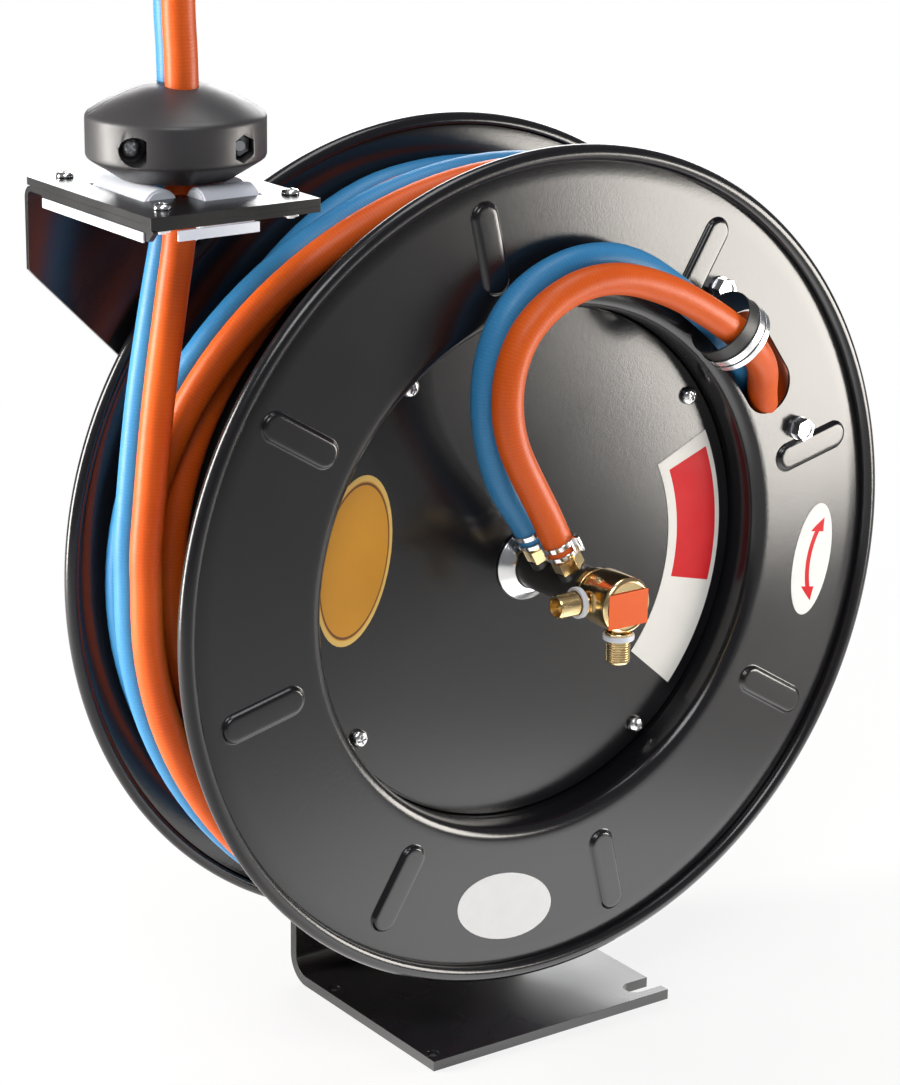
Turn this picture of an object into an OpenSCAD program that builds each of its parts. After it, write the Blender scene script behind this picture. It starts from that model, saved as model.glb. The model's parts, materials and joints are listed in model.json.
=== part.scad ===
// Spring-rewind reel for a twin pair of narrow hoses, with a roller guide and a ball stop.
// Origin: middle of the foot's underside. +X right, +Y to the back, +Z up. Millimetres.
// Depths on the reel are measured backwards from the plane of the front rim, angles from
// +X towards +Z as seen from the front.

/* [Drum] */
// Outer radius of both flanges
flange_r = 235; // [228:1:245]
// Distance between the two rims
drum_w = 118; // [112:1:120]
// Diameter of the rolled rim
bead_d = 9; // [6:0.5:9]
// Thickness of the pressed sheet
sheet_t = 1.5; // [1:0.1:2]
// Outer radius of the cup in the middle of each flange
cup_r = 147.5; // [145:0.5:149]
// Depth of the spring cover behind the rim plane
cover_depth = 23; // [20:1:26]
// Thickness of the spring cover
cover_t = 1.5; // [1:0.1:3]
// Number of raised ribs on a flange
rib_count = 8; // [6:1:12]
// Length of a rib
rib_len = 50; // [30:1:56]
// Width of a rib
rib_w = 15; // [8:1:20]
// Height of a rib over the sheet
rib_h = 2.5; // [1:0.1:2.5]

/* [Hose hole and cuff] */
// Angle of the hose hole in the front flange
hole_angle = 35.2; // [35:0.1:35.6]
// Length of the hose hole
hole_len = 68; // [68:1:72]
// Width of the hose hole
hole_w = 33; // [33:0.5:34]
// Length of the rubber cuff round both hoses
cuff_len = 18; // [14:1:20]
// Outer radius of the rubber cuff
cuff_r = 19.5; // [19:0.1:19.7]

/* [Hose] */
// Outer diameter of one hose
hose_d = 17; // [15:0.5:17]
// Distance between the centres of the two hoses
hose_pitch = 17.5; // [17.4:0.1:17.8]
// Radius of the plain core under the outer layers
core_r = 175; // [165:1:176]

/* [Axle and swivel] */
// Height of the axle over the floor
axle_h = 271; // [265:1:300]
// Radius of the axle
axle_r = 12.5; // [10:0.5:13]
// Radius of the thin front end that carries the swivel
journal_r = 7; // [5:0.5:8]
// Radius of the turning sleeve
sleeve_r = 12; // [11:0.5:13]
// Radius of the fixed brass body
swivel_r = 15.5; // [14:0.5:18]
// Radius of an inlet thread
inlet_r = 6.5; // [6:0.1:7]
// Length of an inlet beyond its washer
inlet_len = 13; // [10:0.5:18]

/* [Hub and spring] */
// Outer radius of the hub tube
hub_r = 22; // [20:0.5:24]
// Radius of the hub's bolted flange
hub_flange_r = 60; // [56:1:70]
// Radius of the bolt circle through the hub
hub_bolt_r = 45; // [40:1:48]
// Number of hub bolts
hub_bolt_count = 6; // [4:1:8]
// Width of the spring strip
strip_w = 22; // [14:1:23]
// Turns of the spring strip
strip_turns = 7; // [4:1:9]
// Outer radius of the ratchet ring
ratchet_r = 62; // [58:1:64]
// Number of notches in the ratchet ring
notch_count = 12; // [8:1:16]

/* [Foot and upright] */
// Width of the foot and of the upright
base_w = 166; // [150:1:180]
// Depth of the foot
foot_depth = 147; // [140:1:150]
// Thickness of the bent plate
plate_t = 6; // [5:0.5:7]
// Outer radius of the bend
bend_r = 16; // [12:1:20]
// Height of the upright over the axle
upright_rise = 60; // [52:1:70]
// Width of the two open slots in the foot
slot_w = 13; // [9:0.5:15]
// Depth of the open slots
slot_len = 21; // [14:0.5:26]
// Radius of the two round holes in the foot
foot_hole_r = 3.5; // [3:0.1:5]
// Distance between the two round holes, and between the two slots
foot_hole_pitch = 100; // [80:1:104]

/* [Roller guide] */
// Left edge of the guide plates, from the axle
guide_x = -247; // [-252:1:-245]
// Width of the guide plates
guide_w = 97; // [95:1:105]
// Top face of the lower guide plate over the axle
guide_z = 218.5; // [216:0.5:222]
// Thickness of the arm, which bends into the lower guide plate
arm_t = 3; // [2.5:0.5:3]
// Thickness of the upper guide plate
top_plate_t = 4; // [3:0.5:5]
// Radius of a roller
roller_r = 10.3; // [9.5:0.1:10.3]
// Radius of a roller pin
pin_r = 2; // [1.5:0.1:2.2]
// Width of the passage between the side rollers
passage_w = 26.4; // [25.4:0.1:26.8]
// Depth of the down-turned lip
lip_depth = 5; // [3:0.5:8]

/* [Ball stop] */
// Diameter of the ball stop
ball_d = 91.5; // [86:0.5:96]
// Height of the ball stop
ball_h = 46.5; // [44:0.5:50]
// Height of its straight band
band_h = 21; // [16:1:24]
// Distance between its two bolts
ball_bolt_pitch = 54; // [46:1:56]
// Radius of a bolt of the ball stop
ball_bolt_r = 3; // [2.5:0.5:4]

/* [Fits] */
// Radial gap of a running bearing
run_gap = 0.05; // [0.02:0.01:0.09]
// Radial gap round screws and bolts
screw_gap = 0.3; // [0.1:0.05:0.5]
// Gap between pieces that only pass each other
pass_gap = 0.5; // [0.4:0.1:1]
// Thickness of a stuck-on label
label_t = 0.3; // [0.2:0.05:0.5]

/* [Hidden] */
$fn = 48;
eps = 0.01;

satin_black = "#1e1e20";
gloss_black = "#121214";
blue = "#3f93c8";
orange = "#e06a1c";
brass = "#c9a052";
steel = "#c4c6c8";
rubber_black = "#2b2a2d";
nylon = "#e6e8ee";
paper = "#f4f2ec";

// Flange
sheet_y = 1;                       // front face of the flat ring
lip_r = cup_r + 6.5;               // where the flat ring starts to turn inwards
lip_bend = lip_r - cup_r + 0.5;    // outer radius of that turn
web_y = (drum_w - 2 * sheet_t) / 2; // front face of the two webs, back to back at mid width
web_hole_r = axle_r + 3.5;
rib_r = lip_r + 36;
rib_angle = 13.5;
hole_r = lip_r + 18;
clamp_bolt_r = lip_r + 29.5;
clamp_bolt_angle = 17.2;
clamp_washer_r = 6.6;

// Spring case and cover
case_r = cup_r - sheet_t - 0.7;
case_t = 1.5;
case_floor_y = web_y - 2;
cover_r = case_r - 1.3;
cover_screw_r = case_r - 8.8;
cover_screw_angle = 35.7;
boss_r = 5;
cover_back = cover_depth + cover_t;
bush_r = axle_r + 5;
bush_len = 13;
spring_y = cover_back + 3;
arbor_r = axle_r + 10;
strip_t = 1.2;
strip_r = cover_screw_r - boss_r - 3;

// Hub, ratchet and latch
hub_y = drum_w - web_y;            // back face of the rear web
hub_back = drum_w - 6;
hub_flange_t = 4;
hub_bore_r = bush_r + run_gap;
bolt_r = 4;
bolt_head_r = 7;
bolt_head_h = 3.5;
ratchet_t = 5;
notch_depth = 7;
notch_w = 9;
ratchet_screw_r = hub_r + 4;
pawl_at = [62, -54];               // pin of the latch, across and up from the axle
pawl_pin_r = 4;
pawl_spacer_r = 7;
pawl_swing = 10;                   // how far the latch stands off the ratchet
pawl_coil_r = 8.3;
pawl_wire_r = 0.8;

// Foot, upright and arm
reel_y = -61.5;                    // the front rim's place along Y
upright_back = reel_y + foot_depth - 12;
upright_front = upright_back - plate_t;
back_depth = upright_front - reel_y; // depth of the upright's front face on the reel
slot_y = 1;
foot_hole_x = -77.5;
foot_hole_y = -3.3;
arm_bolt_x = 45;
arm_bolt_z = [-25, 35];
arm_head_h = 3.5;
collar_r = 17;

// Roller guide
passage = [-195.2, 65.75];         // middle of the passage: across, and depth on the reel
roller_z = guide_z - 1.3;
side_roller_x = passage_w / 2 + roller_r;
end_roller_y = 31.75;
left_len = 54.5;
right_len = 34.5;
end_len = 33;
end_mid_x = -186;
pin_over = 6;
finger_w = 3.2;
guide_depth = back_depth - 3;
guide_screw_r = 2.5;
guide_screw_at = [[16, 17], [90, 17], [16, 115], [90, 115]];
lip_run = [3, 111];

// Ball stop and hose ends
ball_z = roller_z + roller_r + 0.3;
ball_foot_r = 30;
ball_crown_r = 12;
ball_bolt_z = ball_h / 2 - 4.5;
ball_at = [-194, 65.75];            // middle of the ball: across, and depth on the reel
split_angle = -19.7;               // the split plane's line, from +X
hose_bore_r = hose_d / 2 + 0.2;
pair_twist = 17;                   // the pair's turn in the guide, from +Y

// Swivel
sleeve_back = cover_depth - 1;
sleeve_front = -36;
collar_front = sleeve_front - 4;
swivel_back = collar_front - 0.5;
swivel_front = -67;
side_port_y = -47;
down_port_y = -59.5;
port_r = 5;
seal_t = 3;
tail_angle = 120;
tail_y = [0, -25];
tail_from = sleeve_r + 2;
tail_len = 10;
clamp_len = 9.5;

// Hose paths. The winding's rows are [turn in degrees, radius, depth], eased between rows.
half_pitch = hose_pitch / 2;
wind_rows = [[0, 220.5, 65.5], [70, 213, 55], [272, 213, 55], [362, 208, 97.3], [400, 204.5, 97.3],
    [640, 204.5, 97.3], [680, 191, 97.3], [722, 188.5, 97.3], [745, 186.5, 97.3],
    [866, 186.5, 62], [925, 192.5, 33], [965, 198, 20.8], [1020, 205, 20.8], [1160, 205, 20.8],
    [1272, 171.5, 24]];
wind_step = 15;
wind_last = wind_rows[len(wind_rows) - 1];
run_points = [[-193.8, 65.7, 226.9], [-194.8, 65.7, 215], [-196, 65.7, 200], [-202.5, 65.6, 165],
    [-211.7, 65.5, 112], [-218, 65.5, 60], [-220.5, 65.5, 34], [-220.5, 65.5, 17]];
outlet_points = [[-192.6, 65.7, 228], [-192.6, 65.7, 250], [-192.6, 65.7, 272],
    [-193, 65.7, 290], [-194, 65.7, 311], [-194, 65.7, 334]];
orange_points = [[-12, -25, 20.8], [-18, -25, 31.2], [-24, -25.5, 43], [-37, -26, 65], [-48, -26.5, 86],
    [-52.5, -27, 106], [-51, -27.5, 127], [-43, -28, 145], [-28, -28.5, 158.5], [-7, -29, 167],
    [16, -29.5, 168], [43, -30, 160.5], [68, -30.2, 149]];
blue_points = [[-12, 0, 20.8], [-18, 0, 31.2], [-26, -0.5, 42], [-38, -3, 58], [-47, -6, 79],
    [-52.5, -8.5, 103], [-51.5, -10, 129], [-42, -11, 151.5], [-26, -11.5, 165.5], [-4, -12, 174],
    [23, -12, 175], [47, -12.5, 167], [70, -12.8, 152]];
dive_y = [-21.5, 24];              // the pair's depth before and after the hole
dive_bend = 68;

blade_line = [for (k = [0 : strip_turns * 20]) k / (strip_turns * 20)];

// ---------------------------------------------------------------- helpers

// Puts children, drawn round Z, round the axle at a depth on the reel.
module on_axle(depth = 0)
    translate([0, reel_y + depth, axle_h]) mirror([0, 1, -1]) children();

// Puts children in reel coordinates: across, depth, up from the axle.
module on_reel() translate([0, reel_y, axle_h]) children();

module around(count, start = 0)
    for (k = [0 : count - 1]) rotate([0, 0, start + k * 360 / count]) children();

module ring(r_in, r_out, from, to)
    translate([0, 0, from]) difference() {
        cylinder(r = r_out, h = to - from);
        translate([0, 0, -eps]) cylinder(r = r_in, h = to - from + 2 * eps);
    }

module rod(r, from, to) translate([0, 0, from]) cylinder(r = r, h = to - from);

module hexagon(r, from, to) translate([0, 0, from]) cylinder(r = r, h = to - from, $fn = 6);

module obround(length, width) {
    square([length - width, width], center = true);
    for (s = [-1, 1]) translate([s * (length - width) / 2, 0]) circle(d = width);
}

module oval(length, width)
    polygon([for (k = [0 : 47]) [length / 2 * cos(k * 7.5), width / 2 * sin(k * 7.5)]]);

module screw(r, head_r, head_h, length) {
    rod(r, 0, length);
    rod(head_r, -head_h, 0);
}

function unit(v) = v / norm(v);
function ease(t) = t * t * (3 - 2 * t);
function heading(p, i) = unit(p[min(i + 1, len(p) - 1)] - p[max(i - 1, 0)]);
function hoop(centre, way, r, n) =
    let (a = unit(cross(way, [0, 1, 0])), b = cross(way, a))
    [for (k = [0 : n - 1]) centre + r * (cos(k * 360 / n) * a + sin(k * 360 / n) * b)];

// One unbroken tube along a line of points.
module tube(p, r, n) {
    rings = len(p);
    pts = [for (i = [0 : rings - 1]) each hoop(p[i], heading(p, i), r, n)];
    sides = [for (i = [0 : rings - 2], k = [0 : n - 1]) each
        let (a = i * n + k, b = i * n + (k + 1) % n)
        [[a, b + n, b], [a, a + n, b + n]]];
    ends = [[for (k = [0 : n - 1]) k], [for (k = [n - 1 : -1 : 0]) (rings - 1) * n + k]];
    polyhedron(pts, concat(sides, ends));
}

// ---------------------------------------------------------------- drum

// Half of a flange's section: rolled rim, flat ring, turned lip, cup wall and web.
module flange_section() {
    rim = flange_r - bead_d / 2;
    translate([rim, 0]) difference() {
        circle(d = bead_d);
        circle(d = bead_d - 2 * sheet_t);
        rotate(115) translate([bead_d / 2 - sheet_t - eps, -1]) square([sheet_t * 2, 2]);
    }
    translate([lip_r, sheet_y]) square([rim - bead_d / 2 + sheet_t - lip_r, sheet_t]);
    translate([lip_r, sheet_y + lip_bend]) intersection() {
        difference() {
            circle(r = lip_bend);
            circle(r = lip_bend - sheet_t);
        }
        translate([-lip_bend, -lip_bend]) square(lip_bend);
    }
    wall_y = sheet_y + lip_bend - sheet_t;
    translate([cup_r - sheet_t, wall_y]) square([sheet_t * 1.7, sheet_t]);
    translate([cup_r - sheet_t, wall_y]) square([sheet_t, web_y + sheet_t - wall_y]);
    translate([web_hole_r, web_y]) square([cup_r - web_hole_r, sheet_t]);
}

module pressed_flange() {
    difference() {
        union() {
            rotate_extrude() flange_section();
            around(rib_count, rib_angle) translate([rib_r, 0, sheet_y - rib_h])
                linear_extrude(rib_h + sheet_t) obround(rib_len, rib_w);
        }
        around(rib_count, rib_angle) translate([rib_r, 0, sheet_y - rib_h + sheet_t])
            linear_extrude(rib_h + sheet_t) obround(rib_len - 2 * sheet_t, rib_w - 2 * sheet_t);
        around(hub_bolt_count) translate([hub_bolt_r, 0, 0])
            rod(bolt_r + screw_gap, web_y - 1, web_y + sheet_t + 1);
    }
}

module front_flange() color(satin_black) on_axle() difference() {
    pressed_flange();
    rotate([0, 0, hole_angle]) translate([hole_r, 0, -rib_h - 1]) linear_extrude(rib_h + 6)
        rotate(90) obround(hole_len, hole_w);
    for (s = [-1, 1]) rotate([0, 0, hole_angle + s * clamp_bolt_angle])
        translate([clamp_bolt_r, 0, 0]) rod(bolt_r + screw_gap, -1, 4);
}

module rear_flange() color(satin_black) on_axle(drum_w) mirror([0, 0, 1]) pressed_flange();

module hub_bolts() color(steel) on_axle() around(hub_bolt_count) translate([hub_bolt_r, 0, 0]) {
    rod(bolt_r, case_floor_y, hub_y + hub_flange_t + 7.5);
    rod(bolt_head_r, case_floor_y - bolt_head_h, case_floor_y);
    difference() {
        hexagon(bolt_head_r + 0.5, hub_y + hub_flange_t, hub_y + hub_flange_t + 6.5);
        rod(bolt_r + run_gap, hub_y, hub_y + 20);
    }
}

module spring_case() color(satin_black) on_axle() difference() {
    union() {
        ring(case_r - case_t, case_r, cover_back, web_y);
        ring(web_hole_r, case_r, case_floor_y, web_y);
        around(4, cover_screw_angle) translate([cover_screw_r, 0, 0])
            rod(boss_r, cover_back, case_floor_y + eps);
    }
    around(4, cover_screw_angle) translate([cover_screw_r, 0, 0])
        rod(2.5 + run_gap, cover_back - 1, cover_back + 14);
    around(hub_bolt_count) translate([hub_bolt_r, 0, 0])
        rod(bolt_r + screw_gap, case_floor_y - 1, web_y + 1);
}

module spring_cover() color(satin_black) on_axle() difference() {
    union() {
        rod(cover_r, cover_depth, cover_back);
        rod(bush_r + 3.5, cover_depth, cover_depth + bush_len);
    }
    rod(bush_r + run_gap, cover_depth - 1, cover_depth + bush_len + 1);
    around(4, cover_screw_angle) translate([cover_screw_r, 0, 0])
        rod(2.5 + screw_gap, cover_depth - 1, cover_back + 1);
}

module cover_screws() color(steel) on_axle() around(4, cover_screw_angle)
    translate([cover_screw_r, 0, cover_depth]) difference() {
        screw(2.5, 5, 4, 12);
        translate([0, 0, -4]) linear_extrude(3.2, center = true) {
            square([6, 1.4], center = true);
            square([1.4, 6], center = true);
        }
    }

// The strip winds from the arbor out to the case.
module power_spring() {
    inner = arbor_r + strip_t / 2;
    function strip_at(t, side) =
        let (r = inner + (strip_r - inner) * t + side * strip_t / 2, a = 360 * strip_turns * t)
        [r * cos(a), r * sin(a)];
    color(steel) on_axle(spring_y) linear_extrude(strip_w) polygon(concat(
        [for (t = blade_line) strip_at(t, 1)],
        [for (k = [len(blade_line) - 1 : -1 : 0]) strip_at(blade_line[k], -1)]));
}

module front_bush() color(brass) on_axle(cover_depth) ring(axle_r + run_gap, bush_r, 0, bush_len);

module rear_bush() color(brass) on_axle() ring(axle_r + run_gap, bush_r, hub_back - 17, hub_back);

module hub() color(satin_black) on_axle() difference() {
    union() {
        rod(hub_flange_r, hub_y, hub_y + hub_flange_t);
        rod(hub_r, hub_y, hub_back);
        rod(hub_r + 10, hub_back - 7, hub_back);
    }
    rod(hub_bore_r, hub_y - 1, hub_back + 1);
    around(hub_bolt_count) translate([hub_bolt_r, 0, 0])
        rod(bolt_r + screw_gap, hub_y - 1, hub_y + hub_flange_t + 1);
    around(6, 30) translate([ratchet_screw_r, 0, 0]) rod(2.5 + run_gap, hub_back - 8, hub_back + 1);
}

module ratchet_ring() color(steel) on_axle(hub_back) difference() {
    rod(ratchet_r, 0, ratchet_t);
    rod(axle_r + 1, -1, ratchet_t + 1);
    around(6, 30) translate([ratchet_screw_r, 0, 0]) rod(2.5 + screw_gap, -1, ratchet_t + 1);
    around(notch_count) translate([ratchet_r - notch_depth, -notch_w / 2, -1])
        cube([notch_depth + 5, notch_w, ratchet_t + 2]);
}

module ratchet_screws() color(steel) on_axle(hub_back + ratchet_t) mirror([0, 0, 1])
    around(6, 30) translate([ratchet_screw_r, 0, 0]) screw(2.5, 4.5, 2.5, ratchet_t + 6);

module bearing_cup() color(steel) on_axle() {
    ring(sleeve_r + run_gap, bush_r, cover_depth - 6.5, cover_depth);
    ring(bush_r, bush_r + 3, cover_depth - 1.2, cover_depth);
}

// ---------------------------------------------------------------- swivel

// Children drawn round Z point outwards from the axle at the tails' angle.
module at_tail(depth) on_axle(depth) rotate([0, 0, tail_angle]) rotate([0, 90, 0]) children();

module swivel_sleeve() color(rubber_black) difference() {
    union() {
        on_axle() rod(sleeve_r, sleeve_front, sleeve_back);
        for (y = tail_y) at_tail(y) rod(8, 0, tail_from);
    }
    on_axle() rod(journal_r + run_gap, sleeve_front - 1, sleeve_back + 1);
}

module swivel_collar() color(brass) on_axle()
    ring(journal_r + run_gap, sleeve_r + 1.5, collar_front, sleeve_front);

module hose_tails() color(brass) for (y = tail_y) at_tail(y) {
    hexagon(8.5, tail_from, tail_from + tail_len - 2);
    rod(7, tail_from + tail_len - 2, tail_from + tail_len);
}

module tail_clamps() color(steel) for (y = tail_y) at_tail(y) {
    from = tail_from + tail_len + 0.5;
    ring(hose_d / 2 + 0.1, hose_d / 2 + 1.2, from, from + clamp_len);
    difference() {
        translate([hose_d / 2 + 0.8, -3.5, from + 1]) cube([4, 7, clamp_len - 2]);
        translate([hose_d / 2 + 1.6, -2.5, from]) cube([2.2, 5, clamp_len]);
    }
}

module swivel_body() color(brass) difference() {
    on_axle() {
        rod(swivel_r, swivel_front + 1.5, swivel_back);
        rod(swivel_r - 1.5, swivel_front, swivel_back);
    }
    on_axle() rod(journal_r + run_gap / 2, -55, swivel_back + 1);
    on_axle(side_port_y) rotate([0, -90, 0]) rod(port_r, 0, swivel_r + 1);
    on_axle(down_port_y) rotate([90, 0, 0]) rod(port_r, 0, swivel_r + 1);
}

// An inlet: spigot, collar and thread, drawn outwards along Z from the axle.
module inlet_nipple() difference() {
    union() {
        rod(port_r - run_gap / 2, swivel_r - 7, swivel_r);
        rod(inlet_r + 1, swivel_r + 0.1, swivel_r + 1.5);
        rod(inlet_r - 0.5, swivel_r, swivel_r + 1.5 + seal_t);
        rod(inlet_r, swivel_r + 1.5 + seal_t, swivel_r + 1.5 + seal_t + inlet_len);
    }
    rod(inlet_r - 2.5, swivel_r + 1.5 + seal_t, swivel_r + 50);
    rod(2.5, 0, swivel_r + 50);
}

module inlet_nipple_side() color(brass) on_axle(side_port_y) rotate([0, -90, 0]) inlet_nipple();

module inlet_nipple_down() color(brass) on_axle(down_port_y) rotate([90, 0, 0]) inlet_nipple();

module nipple_seals() color(nylon) {
    on_axle(side_port_y) rotate([0, -90, 0])
        ring(inlet_r + 0.1, inlet_r + 2, swivel_r + 1.5, swivel_r + 1.5 + seal_t);
    on_axle(down_port_y) rotate([90, 0, 0])
        ring(inlet_r + 0.1, inlet_r + 2, swivel_r + 1.5, swivel_r + 1.5 + seal_t);
}

module swivel_label() color(orange) on_axle(swivel_front - label_t)
    translate([-13, -11, 0]) cube([26, 19, label_t]);

// ---------------------------------------------------------------- hoses

// The pair's S-bend through the flange: two equal bends, here in plan along and across.
dive_turn = acos(1 - (dive_y[1] - dive_y[0]) / (2 * dive_bend));
function dive_plan(t, side) =
    let (a = dive_turn * (t < 0.5 ? 2 * t : 2 - 2 * t), off = side * half_pitch,
        half = dive_bend * sin(dive_turn), rise = dive_bend * (1 - cos(dive_turn)))
    t < 0.5 ? [(dive_bend - off) * sin(a), dive_bend - (dive_bend - off) * cos(a)]
        : [2 * half - (dive_bend + off) * sin(a), 2 * rise - dive_bend + (dive_bend + off) * cos(a)];
dive_len = 2 * dive_bend * sin(dive_turn);
wind_end_straight = hose_d;
wind_end_angle = wind_last[0] + 180 - 1440 + atan(wind_end_straight / wind_last[1]);
dive_end_r = norm([wind_last[1], wind_end_straight]);
dive_start_r = lip_r + 9;
function dive_point(t, side) =
    let (p = dive_plan(t, side), r = dive_start_r + (dive_end_r - dive_start_r) * ease(t),
        a = wind_end_angle + (dive_len - p[0]) / dive_end_r * 180 / PI)
    [r * cos(a), dive_y[0] + p[1], r * sin(a)];
function dive(side) = [for (t = [0.04, 0.2, 0.35, 0.5, 0.65, 0.8]) dive_point(t, side)];

// One strand of the winding: straight at both ends, eased rows between.
function wind_row(u) = max([for (i = [0 : len(wind_rows) - 2]) if (wind_rows[i][0] <= u) i]);
function wind_point(u, side) =
    let (i = wind_row(u), a = wind_rows[i], b = wind_rows[i + 1],
        t = ease((u - a[0]) / (b[0] - a[0])), r = a[1] + (b[1] - a[1]) * t)
    [-r * cos(u), a[2] + (b[2] - a[2]) * t + side * half_pitch, -r * sin(u)];
function wind_end(side, beyond = 0) =
    let (a = wind_last[0])
    wind_point(a, side) + (wind_end_straight + beyond) * [sin(a), 0, -cos(a)];
function winding(side) = concat(
    [wind_point(0, side) + [0, 0, wind_end_straight]],
    [for (u = [0 : wind_step : wind_last[0]]) wind_point(u, side)],
    [wind_point(wind_last[0], side), wind_end(side)]);

module jumper(points, side, shade) color(shade) on_reel()
    tube(concat(points, dive(side), [wind_end(side, 5), wind_end(side)]), hose_d / 2, 8);

module jumper_hose_blue() jumper(blue_points, 1, blue);

module jumper_hose_orange() jumper(orange_points, -1, orange);

module hose_winding_blue() color(blue) on_reel() tube(winding(1), hose_d / 2, 6);

module hose_winding_orange() color(orange) on_reel() tube(winding(-1), hose_d / 2, 6);

function run(side) = [for (i = [0 : len(run_points) - 1])
    let (turn = pair_twist * ease(max(0, 1 - i / 5)))
    run_points[i] + side * half_pitch * [sin(turn), cos(turn), 0]];

module hose_run_blue() color(blue) on_reel() tube(run(1), hose_d / 2, 8);

module hose_run_orange() color(orange) on_reel() tube(run(-1), hose_d / 2, 8);

module hose_core() color(rubber_black) on_axle() difference() {
    union() {
        ring(cup_r + 0.3, core_r, sheet_y + lip_bend + 1, drum_w - sheet_y - lip_bend - 1);
        ring(lip_r + 1, core_r, sheet_y + sheet_t + 1, drum_w - sheet_y - sheet_t - 1);
    }
    rotate([0, 0, -55]) rotate_extrude(angle = 130)
        translate([dive_start_r - hose_d / 2 - 1.5, 0]) square([core_r, dive_y[1] + hose_d + 4]);
}

// Children are drawn round the pair where its dive starts: Z along the hoses.
module at_cuff() on_axle() rotate([0, 0, wind_end_angle + dive_len / dive_end_r * 180 / PI])
    translate([dive_start_r, 0, dive_y[0]]) rotate([90, 0, 0]) children();

module hose_cuff() color(rubber_black) at_cuff()
    ring(half_pitch + hose_d / 2 + 1.3, cuff_r, -cuff_len / 2, cuff_len / 2);

module cuff_bands() color(steel) at_cuff() {
    ring(cuff_r, cuff_r + 0.8, 0, 4.5);
    ring(cuff_r, cuff_r + 0.8, 5.5, cuff_len / 2);
}

module clamp_bolts() color(steel) on_axle() for (s = [-1, 1])
    rotate([0, 0, hole_angle + s * clamp_bolt_angle]) translate([clamp_bolt_r, 0, 0]) {
        rod(bolt_r, -2, sheet_y + sheet_t + 5.5);
        ring(bolt_r + run_gap, clamp_washer_r, sheet_y - 1.5, sheet_y);
        translate([0, 0, sheet_y - 7.5]) difference() {
            hexagon(clamp_washer_r - 0.2, 0, 6);
            rod(4.5, -1, 1);
        }
        difference() {
            hexagon(bolt_head_r, sheet_y + sheet_t, sheet_y + sheet_t + 4.5);
            rod(bolt_r + run_gap, sheet_y, 20);
        }
    }

// ---------------------------------------------------------------- labels

module cover_oval_label() color("#c9b27a") on_axle(cover_depth - label_t)
    rotate(-10.3) translate([31.7 - cup_r, 0, 0]) linear_extrude(label_t) rotate(90) oval(94, 46);

module cover_arc_label() color(paper) on_axle(cover_depth - label_t) linear_extrude(label_t)
    intersection() {
        difference() {
            circle(r = cup_r - 10.5);
            circle(r = cup_r - 47.5);
        }
        polygon(1.5 * cup_r * [[0, 0], [cos(-41), sin(-41)], [1, 0], [cos(25), sin(25)]]);
    }

module arrow_label() color(paper) on_axle(sheet_y - label_t)
    rotate(-7.35) translate([rib_r + 1.5, 0, 0]) linear_extrude(label_t) rotate(87.65) oval(67, 28);

module oval_label() color(paper) on_axle(sheet_y - label_t)
    rotate(-8.09) translate([0, -rib_r - 1.9, 0]) linear_extrude(label_t) rotate(-5.91) oval(66, 39);

// ---------------------------------------------------------------- frame

module in_side_view(from, width)
    translate([from, 0, 0]) rotate([90, 0, 90]) linear_extrude(width) children();

// Quarter of a bend: the sheet turns from the floor of the view into its right edge.
module bend(outer, thick) intersection() {
    difference() {
        circle(r = outer);
        circle(r = outer - thick);
    }
    children();
}

module base_frame() color(gloss_black) difference() {
    foot_front = upright_back - foot_depth;
    in_side_view(-base_w / 2, base_w) {
        translate([foot_front, 0]) square([foot_depth - bend_r, plate_t]);
        translate([upright_back - bend_r, bend_r]) bend(bend_r, plate_t)
            translate([0, -bend_r]) square(bend_r);
        translate([upright_front, bend_r]) square([plate_t, axle_h + upright_rise - bend_r]);
    }
    for (y = [0, foot_hole_pitch]) {
        translate([0, reel_y + foot_hole_y + y, -1]) {
            translate([foot_hole_x, 0, 0]) cylinder(r = foot_hole_r, h = plate_t + 2);
        }
        translate([base_w / 2 - slot_len, reel_y + slot_y + y, -1]) {
            translate([slot_w / 2, 0, 0]) cylinder(r = slot_w / 2, h = plate_t + 2);
            translate([slot_w / 2, -slot_w / 2, 0]) cube([slot_len, slot_w, plate_t + 2]);
        }
    }
    on_axle(back_depth - 1) {
        rod(axle_r + run_gap, 0, plate_t + 2);
        for (s = [-1, 1], z = arm_bolt_z) translate([s * arm_bolt_x, z, 0])
            rod(bolt_r + screw_gap, 0, plate_t + 2);
        translate(pawl_at) rod(pawl_pin_r + run_gap / 2, 0, plate_t + 2);
        for (s = [-1, 1]) translate([s * base_w / 2, upright_rise, plate_t / 2 + 1])
            rotate([0, 0, 45]) cube([28, 28, plate_t + 4], center = true);
    }
}

// The opening for the hoses and the four rollers, in plan round the passage's middle.
module guide_window() {
    gap = pass_gap;
    side = side_roller_x + roller_r + gap;
    translate([-side, -left_len / 2 - gap]) square([2 * roller_r + 2 * gap, left_len + 2 * gap]);
    translate([passage_w / 2 - gap - eps, -right_len / 2 - gap])
        square([2 * roller_r + 2 * gap, right_len + 2 * gap]);
    inner = end_roller_y - roller_r - gap;
    translate([-passage_w / 2 - gap, -inner]) square([passage_w + gap, 2 * inner]);
    for (s = [-1, 1]) translate([end_mid_x - passage[0], s * end_roller_y])
        square([end_len + 2 * gap, 2 * roller_r + 2 * gap], center = true);
}

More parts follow.
